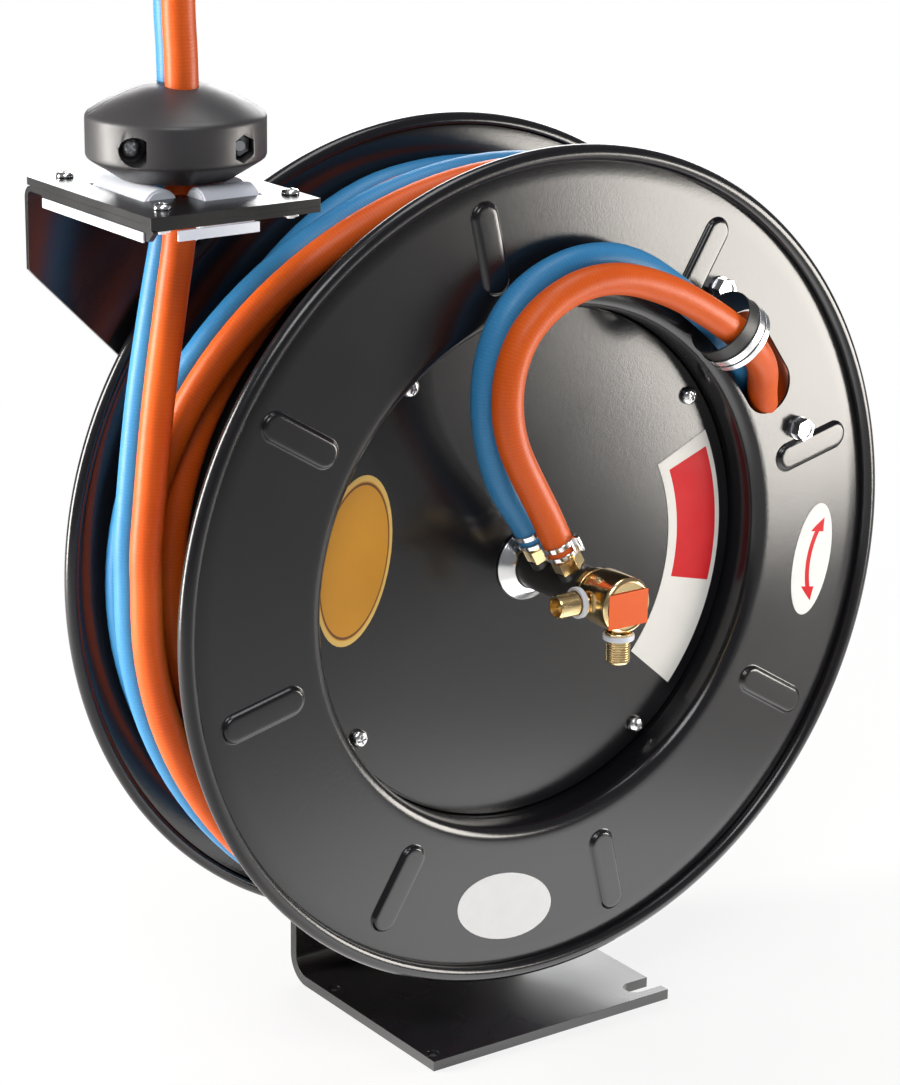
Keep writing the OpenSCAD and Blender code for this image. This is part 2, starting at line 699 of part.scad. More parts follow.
module pins(extra = 0) {
    module pin(length) rod(pin_r + extra, -length / 2 - extra, length / 2 + extra);
    for (s = [-1, 1]) translate([end_mid_x, passage[1] + s * end_roller_y, roller_z])
        rotate([0, 90, 0]) pin(end_len + 2 * pin_over);
    translate([passage[0] - side_roller_x, passage[1], roller_z]) rotate([90, 0, 0])
        pin(left_len + 2 * pin_over);
    translate([passage[0] + side_roller_x, passage[1], roller_z]) rotate([90, 0, 0])
        pin(right_len + 2 * finger_w);
}

module guide_cuts(low, high) {
    translate([passage[0], passage[1], low]) linear_extrude(high - low) guide_window();
    pins(run_gap);
    for (p = guide_screw_at) translate([guide_x + p[0], p[1], 0])
        rod(guide_screw_r + screw_gap, low, high);
}

module guide_arm() color(gloss_black) on_reel() difference() {
    union() {
        turn = 4 + arm_t;
        top = guide_z;
        translate([guide_x, 0, top - arm_t]) cube([guide_w, back_depth - turn, arm_t]);
        in_side_view(guide_x, guide_w) translate([back_depth - turn, top - turn])
            bend(turn, arm_t) square(turn);
        translate([0, back_depth, 0]) rotate([90, 0, 0]) linear_extrude(arm_t) polygon([
            [guide_x, top - turn], [guide_x, 174], [guide_x + 4, 169.6], [-base_w / 2, 9.6],
            [-base_w / 2 + 8, -40], [base_w / 2 - 20, -40], [base_w / 2 - 20, upright_rise - 6],
            [-40, upright_rise - 6], [guide_x + guide_w, 164], [guide_x + guide_w, top - turn]]);
        low = top - arm_t - lip_depth;
        in_side_view(guide_x, arm_t) polygon([[lip_run[0] - 5, top - arm_t], [lip_run[0], low],
            [lip_run[1] - 5, low], [lip_run[1], top - arm_t], [lip_run[1], top - 1],
            [lip_run[0], top - 1]]);
    }
    guide_cuts(guide_z - arm_t - 1, guide_z + 1);
    translate([0, back_depth + 1, 0]) rotate([90, 0, 0]) {
        rod(axle_r + run_gap, 0, arm_t + 2);
        for (s = [-1, 1], z = arm_bolt_z) translate([s * arm_bolt_x, z, 0])
            rod(bolt_r + screw_gap, 0, arm_t + 2);
    }
}

module arm_bolts() color(steel) on_axle(back_depth) for (s = [-1, 1], z = arm_bolt_z)
    translate([s * arm_bolt_x, z, 0]) {
        rod(bolt_r, -arm_t, plate_t + 8);
        rod(bolt_head_r, -arm_t - arm_head_h, -arm_t);
        difference() {
            hexagon(bolt_head_r + 0.5, plate_t, plate_t + 6.5);
            rod(bolt_r + run_gap, 0, 20);
        }
    }

module axle() color(steel) on_axle() {
    rod(journal_r, -55, cover_depth + 1);
    rod(axle_r, cover_depth + 0.01, back_depth + plate_t + 17);
    rod(collar_r, back_depth - arm_t - 4, back_depth - arm_t);
}

module axle_washer() color(steel) on_axle(back_depth + plate_t)
    ring(axle_r + run_gap, axle_r + 9.5, 0, 2.5);

module axle_nut() color(steel) on_axle(back_depth + plate_t) difference() {
    hexagon(axle_r + 9, 2.5, 14.5);
    rod(axle_r + run_gap / 2, 0, 20);
}

module spring_arbor() color(steel) on_axle()
    ring(axle_r + run_gap / 2, arbor_r - run_gap, cover_depth + bush_len + 1, spring_y + strip_w + 1);

module roller_top_plate() color(gloss_black) on_reel() difference() {
    translate([guide_x, 0, guide_z]) cube([guide_w, guide_depth, top_plate_t]);
    guide_cuts(guide_z - 1, guide_z + top_plate_t + 1);
}

module roller_pins() color(steel) on_reel() pins();

module guide_screws() color(steel) on_reel() for (p = guide_screw_at)
    translate([guide_x + p[0], p[1], guide_z + top_plate_t]) mirror([0, 0, 1]) {
        thick = top_plate_t + arm_t;
        difference() {
            screw(guide_screw_r, 4.6, 3, thick + 5);
            translate([0, 0, -3]) linear_extrude(3, center = true) {
                square([5.6, 1.3], center = true);
                square([1.3, 5.6], center = true);
            }
        }
        difference() {
            hexagon(4.8, thick, thick + 4);
            rod(guide_screw_r + run_gap, 0, 30);
        }
    }

module roller(length) difference() {
    union() {
        rod(roller_r, -length / 2 + 1, length / 2 - 1);
        rod(roller_r - 1, -length / 2, length / 2);
    }
    rod(pin_r + run_gap, -length / 2 - 1, length / 2 + 1);
}

module roller_front() color(nylon) on_reel()
    translate([end_mid_x, passage[1] - end_roller_y, roller_z]) rotate([0, 90, 0]) roller(end_len);

module roller_rear() color(nylon) on_reel()
    translate([end_mid_x, passage[1] + end_roller_y, roller_z]) rotate([0, 90, 0]) roller(end_len);

module roller_left() color(nylon) on_reel()
    translate([passage[0] - side_roller_x, passage[1], roller_z]) rotate([90, 0, 0]) roller(left_len);

module roller_right() color(nylon) on_reel()
    translate([passage[0] + side_roller_x, passage[1], roller_z]) rotate([90, 0, 0]) roller(right_len);

// ---------------------------------------------------------------- latch

module at_pawl() on_axle(hub_back) translate(pawl_at) children();

// Drawn in its notch, then swung off the ratchet.
module ratchet_pawl() color(steel) at_pawl() rotate([0, 0, -pawl_swing]) difference() {
    tip = ratchet_r - notch_depth + 1.5 - pawl_at[0];
    bar = ratchet_r + 2 - pawl_at[0];
    top = -pawl_at[1];
    linear_extrude(ratchet_t) {
        circle(8);
        polygon([[-5, 0], [5, 0], [bar + 8, top + 3], [tip, top + 3], [tip, top - 3], [bar, top - 3]]);
    }
    rod(pawl_pin_r + run_gap, -1, ratchet_t + 1);
}

module pawl_pin() color(steel) at_pawl() {
    to = back_depth + plate_t - hub_back;
    rod(pawl_pin_r, -3, to);
    rod(pawl_spacer_r, -3, -0.6);
    rod(pawl_spacer_r, ratchet_t + 0.6, to - plate_t);
    rod(pawl_spacer_r + 1, to, to + 3);
}

// Three coils round the spacer, a leg along the latch and a leg along the upright.
module pawl_spring() {
    from = hub_back + ratchet_t + 2;
    function coil(a) = [pawl_at[0] + pawl_coil_r * cos(a), from + (a - 180) * 0.0075,
        pawl_at[1] + pawl_coil_r * sin(a)];
    color(steel) on_reel() tube(concat([coil(180) + [0, 0, 24]], [for (a = [180 : 30 : 1080]) coil(a)],
        [coil(1080) + [0, 0, 20]]), pawl_wire_r, 6);
}

// ---------------------------------------------------------------- ball stop

module ball_section() {
    r = ball_d / 2;
    low = (ball_h - band_h) * 0.42;
    polygon(concat(
        [[0, 0], [ball_foot_r, 0]],
        [for (a = [15 : 15 : 75]) [ball_foot_r + (r - ball_foot_r) * sin(a), low * (1 - cos(a))]],
        [[r, low], [r, low + band_h]],
        [for (k = [1 : 5]) [r - (r - ball_crown_r) * k / 5,
            low + band_h + (ball_h - low - band_h) * (1 - pow(1 - k / 5, 1.3))]],
        [[0, ball_h]]));
}

// Children are drawn in the ball's frame: Z up its axis, the split plane on XZ.
module at_ball() on_reel() translate([ball_at[0], ball_at[1], ball_z])
    rotate([0, 0, split_angle]) children();

module ball_bolt_at(side) translate([side * ball_bolt_pitch / 2, 0, ball_bolt_z])
    rotate([90, 0, 0]) mirror([0, 0, side > 0 ? 1 : 0]) children();

module stop_half(front) at_ball() difference() {
    intersection() {
        rotate_extrude() ball_section();
        translate([-ball_d, front ? -ball_d - 0.15 : 0.15, -1]) cube([2 * ball_d, ball_d, ball_h + 2]);
    }
    for (s = [-1, 1]) {
        rotate([0, 0, -split_angle]) translate([outlet_points[0][0] - ball_at[0], 0, -1])
            rotate([0, 0, -pair_twist]) translate([0, s * half_pitch, 0])
            cylinder(r = hose_bore_r, h = ball_h + 2);
        ball_bolt_at(s) {
            rod(ball_bolt_r + screw_gap, -ball_d, ball_d);
            rod(7.5, 30, ball_d);
            hexagon(7.2, -ball_d, -30);
        }
    }
}

module stop_half_front() color(rubber_black) stop_half(true);

module stop_half_rear() color(rubber_black) stop_half(false);

module stop_bolts() color(steel) at_ball() for (s = [-1, 1]) ball_bolt_at(s) {
    rod(ball_bolt_r, -38, 30);
    rod(5.2, 30, 34.5);
    difference() {
        hexagon(6.4, -35, -30);
        rod(ball_bolt_r + run_gap, -50, 0);
    }
}

function outlet(side) = [for (q = outlet_points)
    q + side * half_pitch * [sin(pair_twist), cos(pair_twist), 0]];

module hose_outlet_blue() color(blue) on_reel() tube(outlet(1), hose_d / 2, 8);

module hose_outlet_orange() color(orange) on_reel() tube(outlet(-1), hose_d / 2, 8);

module end_fittings() color(brass) on_reel() for (s = [-1, 1]) {
    line = outlet(s);
    translate(line[len(line) - 1]) difference() {
        union() {
            rod(8.2, 0, 14);
            rod(5.5, 14, 22);
            hexagon(8.5, 22, 38);
        }
        rod(6, 30, 39);
        rod(3, -1, 39);
    }
}

// ---------------------------------------------------------------- build

// Least gap of a strand to itself and to its twin, on points along their middles.
fine = [for (u = [0 : 4 : wind_last[0]]) u];
function strand_gap(side, other, apart) = min([for (u = fine, v = fine) if (v - u >= apart)
    norm(wind_point(u, side) - wind_point(v, other))]) - hose_d;
echo(blue_gap = strand_gap(1, 1, 40), orange_gap = strand_gap(-1, -1, 40),
    twin_gap = strand_gap(1, -1, 0), twin_gap_back = strand_gap(-1, 1, 0));

base_frame();
guide_arm();
arm_bolts();
axle();
axle_washer();
axle_nut();
spring_arbor();
roller_top_plate();
roller_pins();
guide_screws();
pawl_pin();
pawl_spring();
swivel_body();
inlet_nipple_side();
inlet_nipple_down();
nipple_seals();
swivel_label();
hose_run_blue();
hose_run_orange();
roller_front();
roller_rear();
roller_left();
roller_right();
ratchet_pawl();
front_flange();
rear_flange();
hub_bolts();
spring_case();
spring_cover();
cover_screws();
power_spring();
front_bush();
rear_bush();
hub();
ratchet_ring();
ratchet_screws();
bearing_cup();
swivel_sleeve();
swivel_collar();
hose_tails();
tail_clamps();
jumper_hose_blue();
jumper_hose_orange();
hose_cuff();
cuff_bands();
clamp_bolts();
hose_core();
hose_winding_blue();
hose_winding_orange();
cover_oval_label();
cover_arc_label();
arrow_label();
oval_label();
stop_half_front();
stop_half_rear();
stop_bolts();
hose_outlet_blue();
hose_outlet_orange();
end_fittings();
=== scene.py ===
"""Looks of a spring-rewind reel for a twin pair of narrow hoses."""
import math

import bpy
from mathutils import Matrix, Vector
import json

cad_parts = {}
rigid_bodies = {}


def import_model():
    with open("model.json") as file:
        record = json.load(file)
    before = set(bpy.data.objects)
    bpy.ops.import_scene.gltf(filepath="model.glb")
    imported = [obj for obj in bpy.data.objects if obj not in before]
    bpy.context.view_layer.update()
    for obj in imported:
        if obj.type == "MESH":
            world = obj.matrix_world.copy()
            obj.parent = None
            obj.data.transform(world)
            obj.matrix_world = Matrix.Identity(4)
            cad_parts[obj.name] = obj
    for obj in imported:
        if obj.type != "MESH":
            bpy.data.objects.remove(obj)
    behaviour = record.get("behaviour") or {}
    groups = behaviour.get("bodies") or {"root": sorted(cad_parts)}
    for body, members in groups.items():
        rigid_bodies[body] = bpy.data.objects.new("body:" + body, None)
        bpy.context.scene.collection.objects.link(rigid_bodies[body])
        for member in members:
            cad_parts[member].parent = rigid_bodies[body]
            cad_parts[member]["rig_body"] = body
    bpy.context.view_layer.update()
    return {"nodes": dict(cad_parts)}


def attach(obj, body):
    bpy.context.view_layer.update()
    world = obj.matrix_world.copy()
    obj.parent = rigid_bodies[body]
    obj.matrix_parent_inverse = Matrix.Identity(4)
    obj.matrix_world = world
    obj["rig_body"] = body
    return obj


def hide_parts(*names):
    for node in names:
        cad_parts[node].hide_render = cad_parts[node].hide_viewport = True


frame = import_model()
nodes = frame["nodes"]
mm = 0.001

# ------------------------------------------------------------------ places
# Sizes are written in millimetres, and depths count back from the middle of the front rim.
AXLE_Z = 271.0
RIM_Y = -61.5
REEL_WIDTH = 118
QUARTER = math.pi / 2
# A piece turned along Z comes to stand on the axle, with its Z pointing back.
TO_REEL = Matrix.Translation((0, RIM_Y * mm, AXLE_Z * mm)) @ Matrix.Rotation(-QUARTER, 4, "X")


def on_reel(x, depth, z):
    """A place across, behind the front rim and above the axle, in metres in the part's frame."""
    return Vector((x * mm, (depth + RIM_Y) * mm, (z + AXLE_Z) * mm))


def spoke(radius, angle, depth):
    """A place at a radius from the axle; the angle grows from the right upwards."""
    a = math.radians(angle)
    return on_reel(radius * math.cos(a), depth, radius * math.sin(a))


# ------------------------------------------------------------------ camera
EYE = Vector((-0.9902, -1.3543, 0.7962))
AHEAD = Vector((0.5542, 0.7772, -0.2980)).normalized()
ROLL = math.radians(0.77)
FOCAL_PIXELS = 3142.7
FRAME_PIXELS = 1085
SENSOR = 36


def add_camera():
    right = Vector((AHEAD.y, -AHEAD.x, 0)).normalized()
    up = right.cross(AHEAD)
    side = right * math.cos(ROLL) + up * math.sin(ROLL)
    top = up * math.cos(ROLL) - right * math.sin(ROLL)
    data = bpy.data.cameras.new("camera")
    data.sensor_fit = "VERTICAL"
    data.sensor_height = SENSOR
    data.lens = SENSOR * FOCAL_PIXELS / FRAME_PIXELS
    data.clip_end = 30
    camera = bpy.data.objects.new("camera", data)
    bpy.context.scene.collection.objects.link(camera)
    camera.matrix_world = Matrix((
        (side.x, top.x, -AHEAD.x, EYE.x), (side.y, top.y, -AHEAD.y, EYE.y),
        (side.z, top.z, -AHEAD.z, EYE.z), (0, 0, 0, 1)))
    bpy.context.scene.camera = camera


add_camera()


# ------------------------------------------------------------------ materials
class Finish:
    """One procedural material: a Principled shader with the nodes that feed it."""

    def __init__(self, name, roughness=0.5, metal=0.0, coat=0.0, coat_roughness=0.1, ior=1.5):
        self.mat = bpy.data.materials.new(name)
        self.mat.use_nodes = True
        self.tree = self.mat.node_tree
        self.bsdf = self.tree.nodes["Principled BSDF"]
        self.set("Roughness", roughness)
        self.set("Metallic", metal)
        self.set("Coat Weight", coat)
        self.set("Coat Roughness", coat_roughness)
        self.set("IOR", ior)
        self.place = self.node("ShaderNodeTexCoord").outputs["Object"]

    def node(self, kind, **values):
        made = self.tree.nodes.new(kind)
        for key, value in values.items():
            setattr(made, key, value)
        return made

    def set(self, socket, value):
        self.bsdf.inputs[socket].default_value = value

    def link(self, out, into):
        self.tree.links.new(out, into)

    def noise(self, scale, detail=3.0, stretch=(1, 1, 1), source=None):
        mapping = self.node("ShaderNodeMapping")
        mapping.inputs["Scale"].default_value = stretch
        self.link(source or self.place, mapping.inputs["Vector"])
        made = self.node("ShaderNodeTexNoise")
        made.inputs["Scale"].default_value = scale
        made.inputs["Detail"].default_value = detail
        self.link(mapping.outputs["Vector"], made.inputs["Vector"])
        return made.outputs["Fac"]

    def span(self, value, low, high, from_low=0.3, from_high=0.7):
        made = self.node("ShaderNodeMapRange")
        made.inputs["From Min"].default_value = from_low
        made.inputs["From Max"].default_value = from_high
        made.inputs["To Min"].default_value = low
        made.inputs["To Max"].default_value = high
        self.link(value, made.inputs["Value"])
        return made.outputs["Result"]

    def blend(self, factor, first, second):
        """Mixes two colours or colour outputs by a value from 0 to 1."""
        made = self.node("ShaderNodeMix", data_type="RGBA")
        self.link(factor, made.inputs["Factor"])
        for socket, colour in (("A", first), ("B", second)):
            slot = [s for s in made.inputs if s.name == socket and s.type == "RGBA"][0]
            if isinstance(colour, tuple):
                slot.default_value = (*colour, 1)
            else:
                self.link(colour, slot)
        return [s for s in made.outputs if s.type == "RGBA"][0]

    def math(self, operation, first, second=None):
        made = self.node("ShaderNodeMath", operation=operation)
        for slot, value in zip(made.inputs, (first, second)):
            if value is None:
                continue
            if isinstance(value, (int, float)):
                slot.default_value = value
            else:
                self.link(value, slot)
        return made.outputs[0]

    def colour(self, out):
        self.link(out, self.bsdf.inputs["Base Color"])

    def rough(self, out):
        self.link(out, self.bsdf.inputs["Roughness"])

    def bump(self, height, strength=0.3, distance=0.0003):
        made = self.node("ShaderNodeBump")
        made.inputs["Strength"].default_value = strength
        made.inputs["Distance"].default_value = distance
        self.link(height, made.inputs["Height"])
        self.link(made.outputs["Normal"], self.bsdf.inputs["Normal"])


def satin_paint():
    f = Finish("satin black paint", 0.28)
    f.colour(f.blend(f.noise(260, 4), (0.0060, 0.0058, 0.0070), (0.0105, 0.0100, 0.0120)))
    f.rough(f.span(f.noise(9, 4), 0.17, 0.22))
    f.bump(f.math("ADD", f.noise(1100, 2), f.math("MULTIPLY", f.noise(330, 3), 0.8)), 0.22, 0.00016)
    return f.mat


def gloss_paint():
    f = Finish("gloss black paint", 0.26, coat=0.1, coat_roughness=0.1)
    f.colour(f.blend(f.noise(60, 3), (0.0055, 0.0055, 0.006), (0.010, 0.0095, 0.010)))
    f.rough(f.span(f.noise(14, 4), 0.22, 0.34))
    f.bump(f.noise(210, 2), 0.05, 0.0002)
    return f.mat


def zinc(name="zinc plate", base=(0.60, 0.61, 0.63), low=0.22, high=0.36):
    f = Finish(name, 0.3, metal=1.0)
    f.colour(f.blend(f.noise(180, 3), base, tuple(min(1, c * 1.25) for c in base)))
    f.rough(f.span(f.noise(90, 4), low, high))
    f.bump(f.noise(900, 2), 0.12, 0.0001)
    return f.mat


def bright_steel():
    f = Finish("bright steel", 0.14, metal=1.0)
    f.colour(f.blend(f.noise(120, 2), (0.74, 0.74, 0.75), (0.86, 0.86, 0.86)))
    f.rough(f.span(f.noise(60, 3), 0.10, 0.22))
    f.bump(f.noise(600, 2), 0.05, 0.0001)
    return f.mat


def brass():
    f = Finish("turned brass", 0.2, metal=1.0)
    f.colour(f.blend(f.noise(70, 4), (0.74, 0.54, 0.25), (0.88, 0.70, 0.40)))
    f.rough(f.span(f.noise(55, 4), 0.12, 0.26))
    f.bump(f.math("ADD", f.noise(300, 3, (1, 6, 1)), f.noise(900, 2)), 0.10, 0.00012)
    return f.mat


def nylon():
    f = Finish("white nylon", 0.42)
    f.colour(f.blend(f.noise(45, 3), (0.66, 0.70, 0.80), (0.80, 0.82, 0.88)))
    f.set("Subsurface Weight", 0.08)
    f.set("Subsurface Scale", 0.002)
    f.rough(f.span(f.noise(70, 3), 0.36, 0.5))
    f.bump(f.noise(500, 3), 0.12, 0.0002)
    return f.mat


def moulded_rubber():
    f = Finish("moulded rubber", 0.4, ior=1.52)
    f.colour(f.blend(f.noise(50, 4), (0.030, 0.028, 0.031), (0.048, 0.045, 0.047)))
    f.rough(f.span(f.noise(40, 4), 0.34, 0.48))
    f.bump(f.math("ADD", f.noise(700, 3), f.noise(160, 3)), 0.16, 0.0002)
    return f.mat


def soft_black(name, low, high, roughness):
    f = Finish(name, roughness)
    f.colour(f.blend(f.noise(120, 3), low, high))
    f.rough(f.span(f.noise(60, 3), roughness - 0.06, roughness + 0.08))
    f.bump(f.noise(650, 3), 0.2, 0.0002)
    return f.mat


def hose_cover(name, shade, deep, worn):
    """Wrapped rubber cover: faint cross weave left by the wrapping, scuffs and a waxy sheen."""
    f = Finish(name, 0.36, ior=1.45)
    f.set("Specular IOR Level", 0.38)
    along = f.node("ShaderNodeUVMap", uv_map="along").outputs["UV"]
    wave = f.node("ShaderNodeTexWave", wave_type="BANDS", bands_direction="Y")
    wave.inputs["Scale"].default_value = 170
    wave.inputs["Distortion"].default_value = 2.2
    wave.inputs["Detail"].default_value = 2.0
    wave.inputs["Detail Scale"].default_value = 2.0
    f.link(along, wave.inputs["Vector"])
    threads = f.noise(420, 3, (1.0, 2.6, 1.0), along)
    patches = f.noise(30, 4, (1, 0.5, 1), along)
    body = f.blend(f.span(patches, 0, 1, 0.35, 0.7), shade, deep)
    lines = f.math("MULTIPLY", wave.outputs["Fac"], f.span(threads, 0.1, 0.75))
    f.colour(f.blend(f.math("MULTIPLY", lines, 0.55), body, worn))
    f.rough(f.span(threads, 0.34, 0.50))
    f.bump(f.math("ADD", f.math("MULTIPLY", wave.outputs["Fac"], 0.6), threads), 0.22, 0.00022)
    return f.mat


SATIN = satin_paint()
GLOSS = gloss_paint()
ZINC = zinc()
SPRING = zinc("blued spring steel", (0.20, 0.22, 0.26), 0.25, 0.4)
BRIGHT = bright_steel()
BRASS = brass()
NYLON = nylon()
BALL = moulded_rubber()
RUBBER = soft_black("black rubber", (0.012, 0.012, 0.012), (0.022, 0.022, 0.022), 0.5)
SLEEVE = soft_black("black oxide sleeve", (0.018, 0.017, 0.016), (0.032, 0.030, 0.028), 0.36)
BLUE = hose_cover("blue hose cover", shade=(0.040, 0.235, 0.48), deep=(0.025, 0.185, 0.42),
                  worn=(0.07, 0.30, 0.56))
ORANGE = hose_cover("orange hose cover", shade=(0.74, 0.110, 0.008), deep=(0.60, 0.070, 0.005),
                    worn=(0.82, 0.17, 0.015))


# ------------------------------------------------------------------ modelling helpers
def settle():
    if bpy.context.object and bpy.context.object.mode != "OBJECT":
        bpy.ops.object.mode_set(mode="OBJECT")
    bpy.ops.object.select_all(action="DESELECT")


def choose(*things):
    settle()
    for thing in things:
        thing.select_set(True)
    bpy.context.view_layer.objects.active = things[0]


def edit(thing):
    choose(thing)
    bpy.ops.object.mode_set(mode="EDIT")
    bpy.ops.mesh.select_all(action="SELECT")


def done():
    bpy.ops.object.mode_set(mode="OBJECT")


def apply_all(thing):
    choose(thing)
    for modifier in list(thing.modifiers):
        bpy.ops.object.modifier_apply(modifier=modifier.name)


def smooth(thing, angle=32):
    choose(thing)
    bpy.ops.object.shade_smooth_by_angle(angle=math.radians(angle))


def keep_flats(thing):
    """The wide faces keep their own normals, so that they mirror evenly up to a rounded edge."""
    even = thing.modifiers.new("even", "WEIGHTED_NORMAL")
    even.keep_sharp = True
    apply_all(thing)


def paint(thing, material):
    thing.data.materials.clear()
    thing.data.materials.append(material)


def dress(node, material):
    """Gives a CAD piece that stays as it is its finish."""
    for slot in nodes[node].material_slots:
        slot.material = material


def hand_over(thing, name, body, material, *stands_for):
    """Names a finished piece, gives it its body and finish, and hides the nodes it stands for."""
    thing.name = name
    thing.data.name = name
    paint(thing, material)
    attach(thing, body)
    if stands_for:
        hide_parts(*stands_for)
    return thing


def block(size, middle, turn=0.0):
    """A plain block, in metres, turned about its upright axis."""
    settle()
    bpy.ops.mesh.primitive_cube_add(size=1, location=middle, rotation=(0, 0, turn))
    made = bpy.context.object
    made.scale = size
    bpy.ops.object.transform_apply(location=True, rotation=True, scale=True)
    return made


def rod(radius, length, sides, height=0):
    """A plain cylinder along Z with its middle at the height."""
    settle()
    bpy.ops.mesh.primitive_cylinder_add(vertices=sides, radius=radius * mm, depth=length * mm,
                                        location=(0, 0, height * mm))
    made = bpy.context.object
    bpy.ops.object.transform_apply(location=True, rotation=True, scale=True)
    return made


def obround(length, width, segments, merge):
    """A flat obround, left in edit mode with all of it selected."""
    settle()
    bpy.ops.mesh.primitive_plane_add(size=1)
    made = bpy.context.object
    made.scale = (length * mm, width * mm, 1)
    bpy.ops.object.transform_apply(location=True, rotation=True, scale=True)
    edit(made)
    bpy.ops.mesh.bevel(offset=(width / 2 - 0.01) * mm, segments=segments, affect="VERTICES",
                       clamp_overlap=False)
    bpy.ops.mesh.remove_doubles(threshold=merge)
    bpy.ops.mesh.select_all(action="SELECT")
    return made


def soften(thing, width, segments):
    """Bevels every edge of a plain block or nut."""
    edit(thing)
    bpy.ops.mesh.bevel(offset=width * mm, segments=segments, affect="EDGES")
    done()
    return thing


def ring_by_ring(rings, sides=96, capped=True):
    """A turned piece along Z: each ring is extruded from the last one and scaled to its radius."""
    settle()
    first, height = rings[0]
    bpy.ops.mesh.primitive_circle_add(vertices=sides, radius=first * mm)
    made = bpy.context.object
    edit(made)
    bpy.ops.transform.translate(value=(0, 0, height * mm))
    for (r0, h0), (r1, h1) in zip(rings, rings[1:]):
        bpy.ops.mesh.extrude_edges_move(TRANSFORM_OT_translate={"value": (0, 0, (h1 - h0) * mm)})
        bpy.ops.transform.resize(value=(r1 / r0, r1 / r0, 1), center_override=(0, 0, h1 * mm))
    if capped:
        bpy.ops.mesh.edge_face_add()
        bpy.ops.mesh.select_all(action="DESELECT")
        bpy.ops.mesh.select_non_manifold(extend=False, use_multi_face=False, use_verts=False)
        bpy.ops.mesh.edge_face_add()
    bpy.ops.mesh.select_all(action="SELECT")
    bpy.ops.mesh.remove_doubles(threshold=2e-6)
    bpy.ops.mesh.normals_make_consistent(inside=False)
    done()
    return made


def put(thing, matrix):
    thing.matrix_world = matrix @ thing.matrix_world
    choose(thing)
    bpy.ops.object.transform_apply(location=True, rotation=True, scale=True)
    return thing


def join(*things):
    choose(*things)
    bpy.ops.object.join()
    return bpy.context.object


def copy_of(thing, matrix):
    other = thing.copy()
    other.data = thing.data.copy()
    bpy.context.scene.collection.objects.link(other)
    return put(other, matrix)


def carve(thing, *tools):
    for tool in tools:
        cut = thing.modifiers.new("cut", "BOOLEAN")
        cut.operation = "DIFFERENCE"
        cut.solver = "EXACT"
        cut.object = tool
    apply_all(thing)
    for tool in tools:
        bpy.data.objects.remove(tool)
    return thing


FLAT_ANGLE = math.radians(0.6)


def merged_copy(node, keep=None):
    """The node's own shape as clean faces, in a new object; keep says which corners stay."""
    made = bpy.data.objects.new(node + "_shape", nodes[node].data.copy())
    bpy.context.scene.collection.objects.link(made)
    edit(made)
    bpy.ops.mesh.remove_doubles(threshold=1e-6)
    if keep:
        bpy.ops.mesh.select_mode(type="VERT")
        bpy.ops.mesh.select_all(action="DESELECT")
        done()
        for v in made.data.vertices:
            v.select = not keep(v.co / mm)
        bpy.ops.object.mode_set(mode="EDIT")
        bpy.ops.mesh.delete(type="VERT")
    bpy.ops.mesh.select_all(action="SELECT")
    bpy.ops.mesh.dissolve_limited(angle_limit=FLAT_ANGLE)
    done()
    return made


def round_edges(thing, width, segments=3, angle=38):
    bevel = thing.modifiers.new("round", "BEVEL")
    bevel.width = width * mm
    bevel.segments = segments
    bevel.limit_method = "ANGLE"
    bevel.angle_limit = math.radians(angle)
    bevel.use_clamp_overlap = True
    apply_all(thing)
    return thing


def eased(node, width, material):
    """A node with its edges rounded, which stands for it."""
    made = round_edges(merged_copy(node), width)
    smooth(made)
    keep_flats(made)
    return hand_over(made, node + "_finished", nodes[node]["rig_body"], material, node)


# ------------------------------------------------------------------ hoses
HOSE_R = 8.5
HALF_PITCH = 8.75        # from the middle of the pair to the middle of one hose


def smooth_line(points, step=3.0):
    """A smooth line through the points (centripetal), with a point at about every step."""
    pts = [Vector(p) for p in points]
    pts = [pts[0] * 2 - pts[1]] + pts + [pts[-1] * 2 - pts[-2]]
    line = []
    for p0, p1, p2, p3 in zip(pts, pts[1:], pts[2:], pts[3:]):
        t1 = (p1 - p0).length ** 0.5
        t2 = t1 + (p2 - p1).length ** 0.5
        t3 = t2 + (p3 - p2).length ** 0.5
        count = max(2, int((p2 - p1).length / step))
        for k in range(count):
            t = t1 + (t2 - t1) * k / count
            a1 = p0 * ((t1 - t) / t1) + p1 * (t / t1)
            a2 = p1 * ((t2 - t) / (t2 - t1)) + p2 * ((t - t1) / (t2 - t1))
            a3 = p2 * ((t3 - t) / (t3 - t2)) + p3 * ((t - t2) / (t3 - t2))
            b1 = a1 * ((t2 - t) / t2) + a2 * (t / t2)
            b2 = a2 * ((t3 - t) / (t3 - t1)) + a3 * ((t - t1) / (t3 - t1))
            line.append(b1 * ((t2 - t) / (t2 - t1)) + b2 * ((t - t1) / (t2 - t1)))
    line.append(pts[-2])
    return line


def relaxed(line, rounds=10):
    """The line with its small waves taken out; its two ends stay as they are."""
    for _ in range(rounds):
        inner = [(a + b * 2 + c) / 4 for a, b, c in zip(line[1:-3], line[2:-2], line[3:-1])]
        line = line[:2] + inner + line[-2:]
    return line


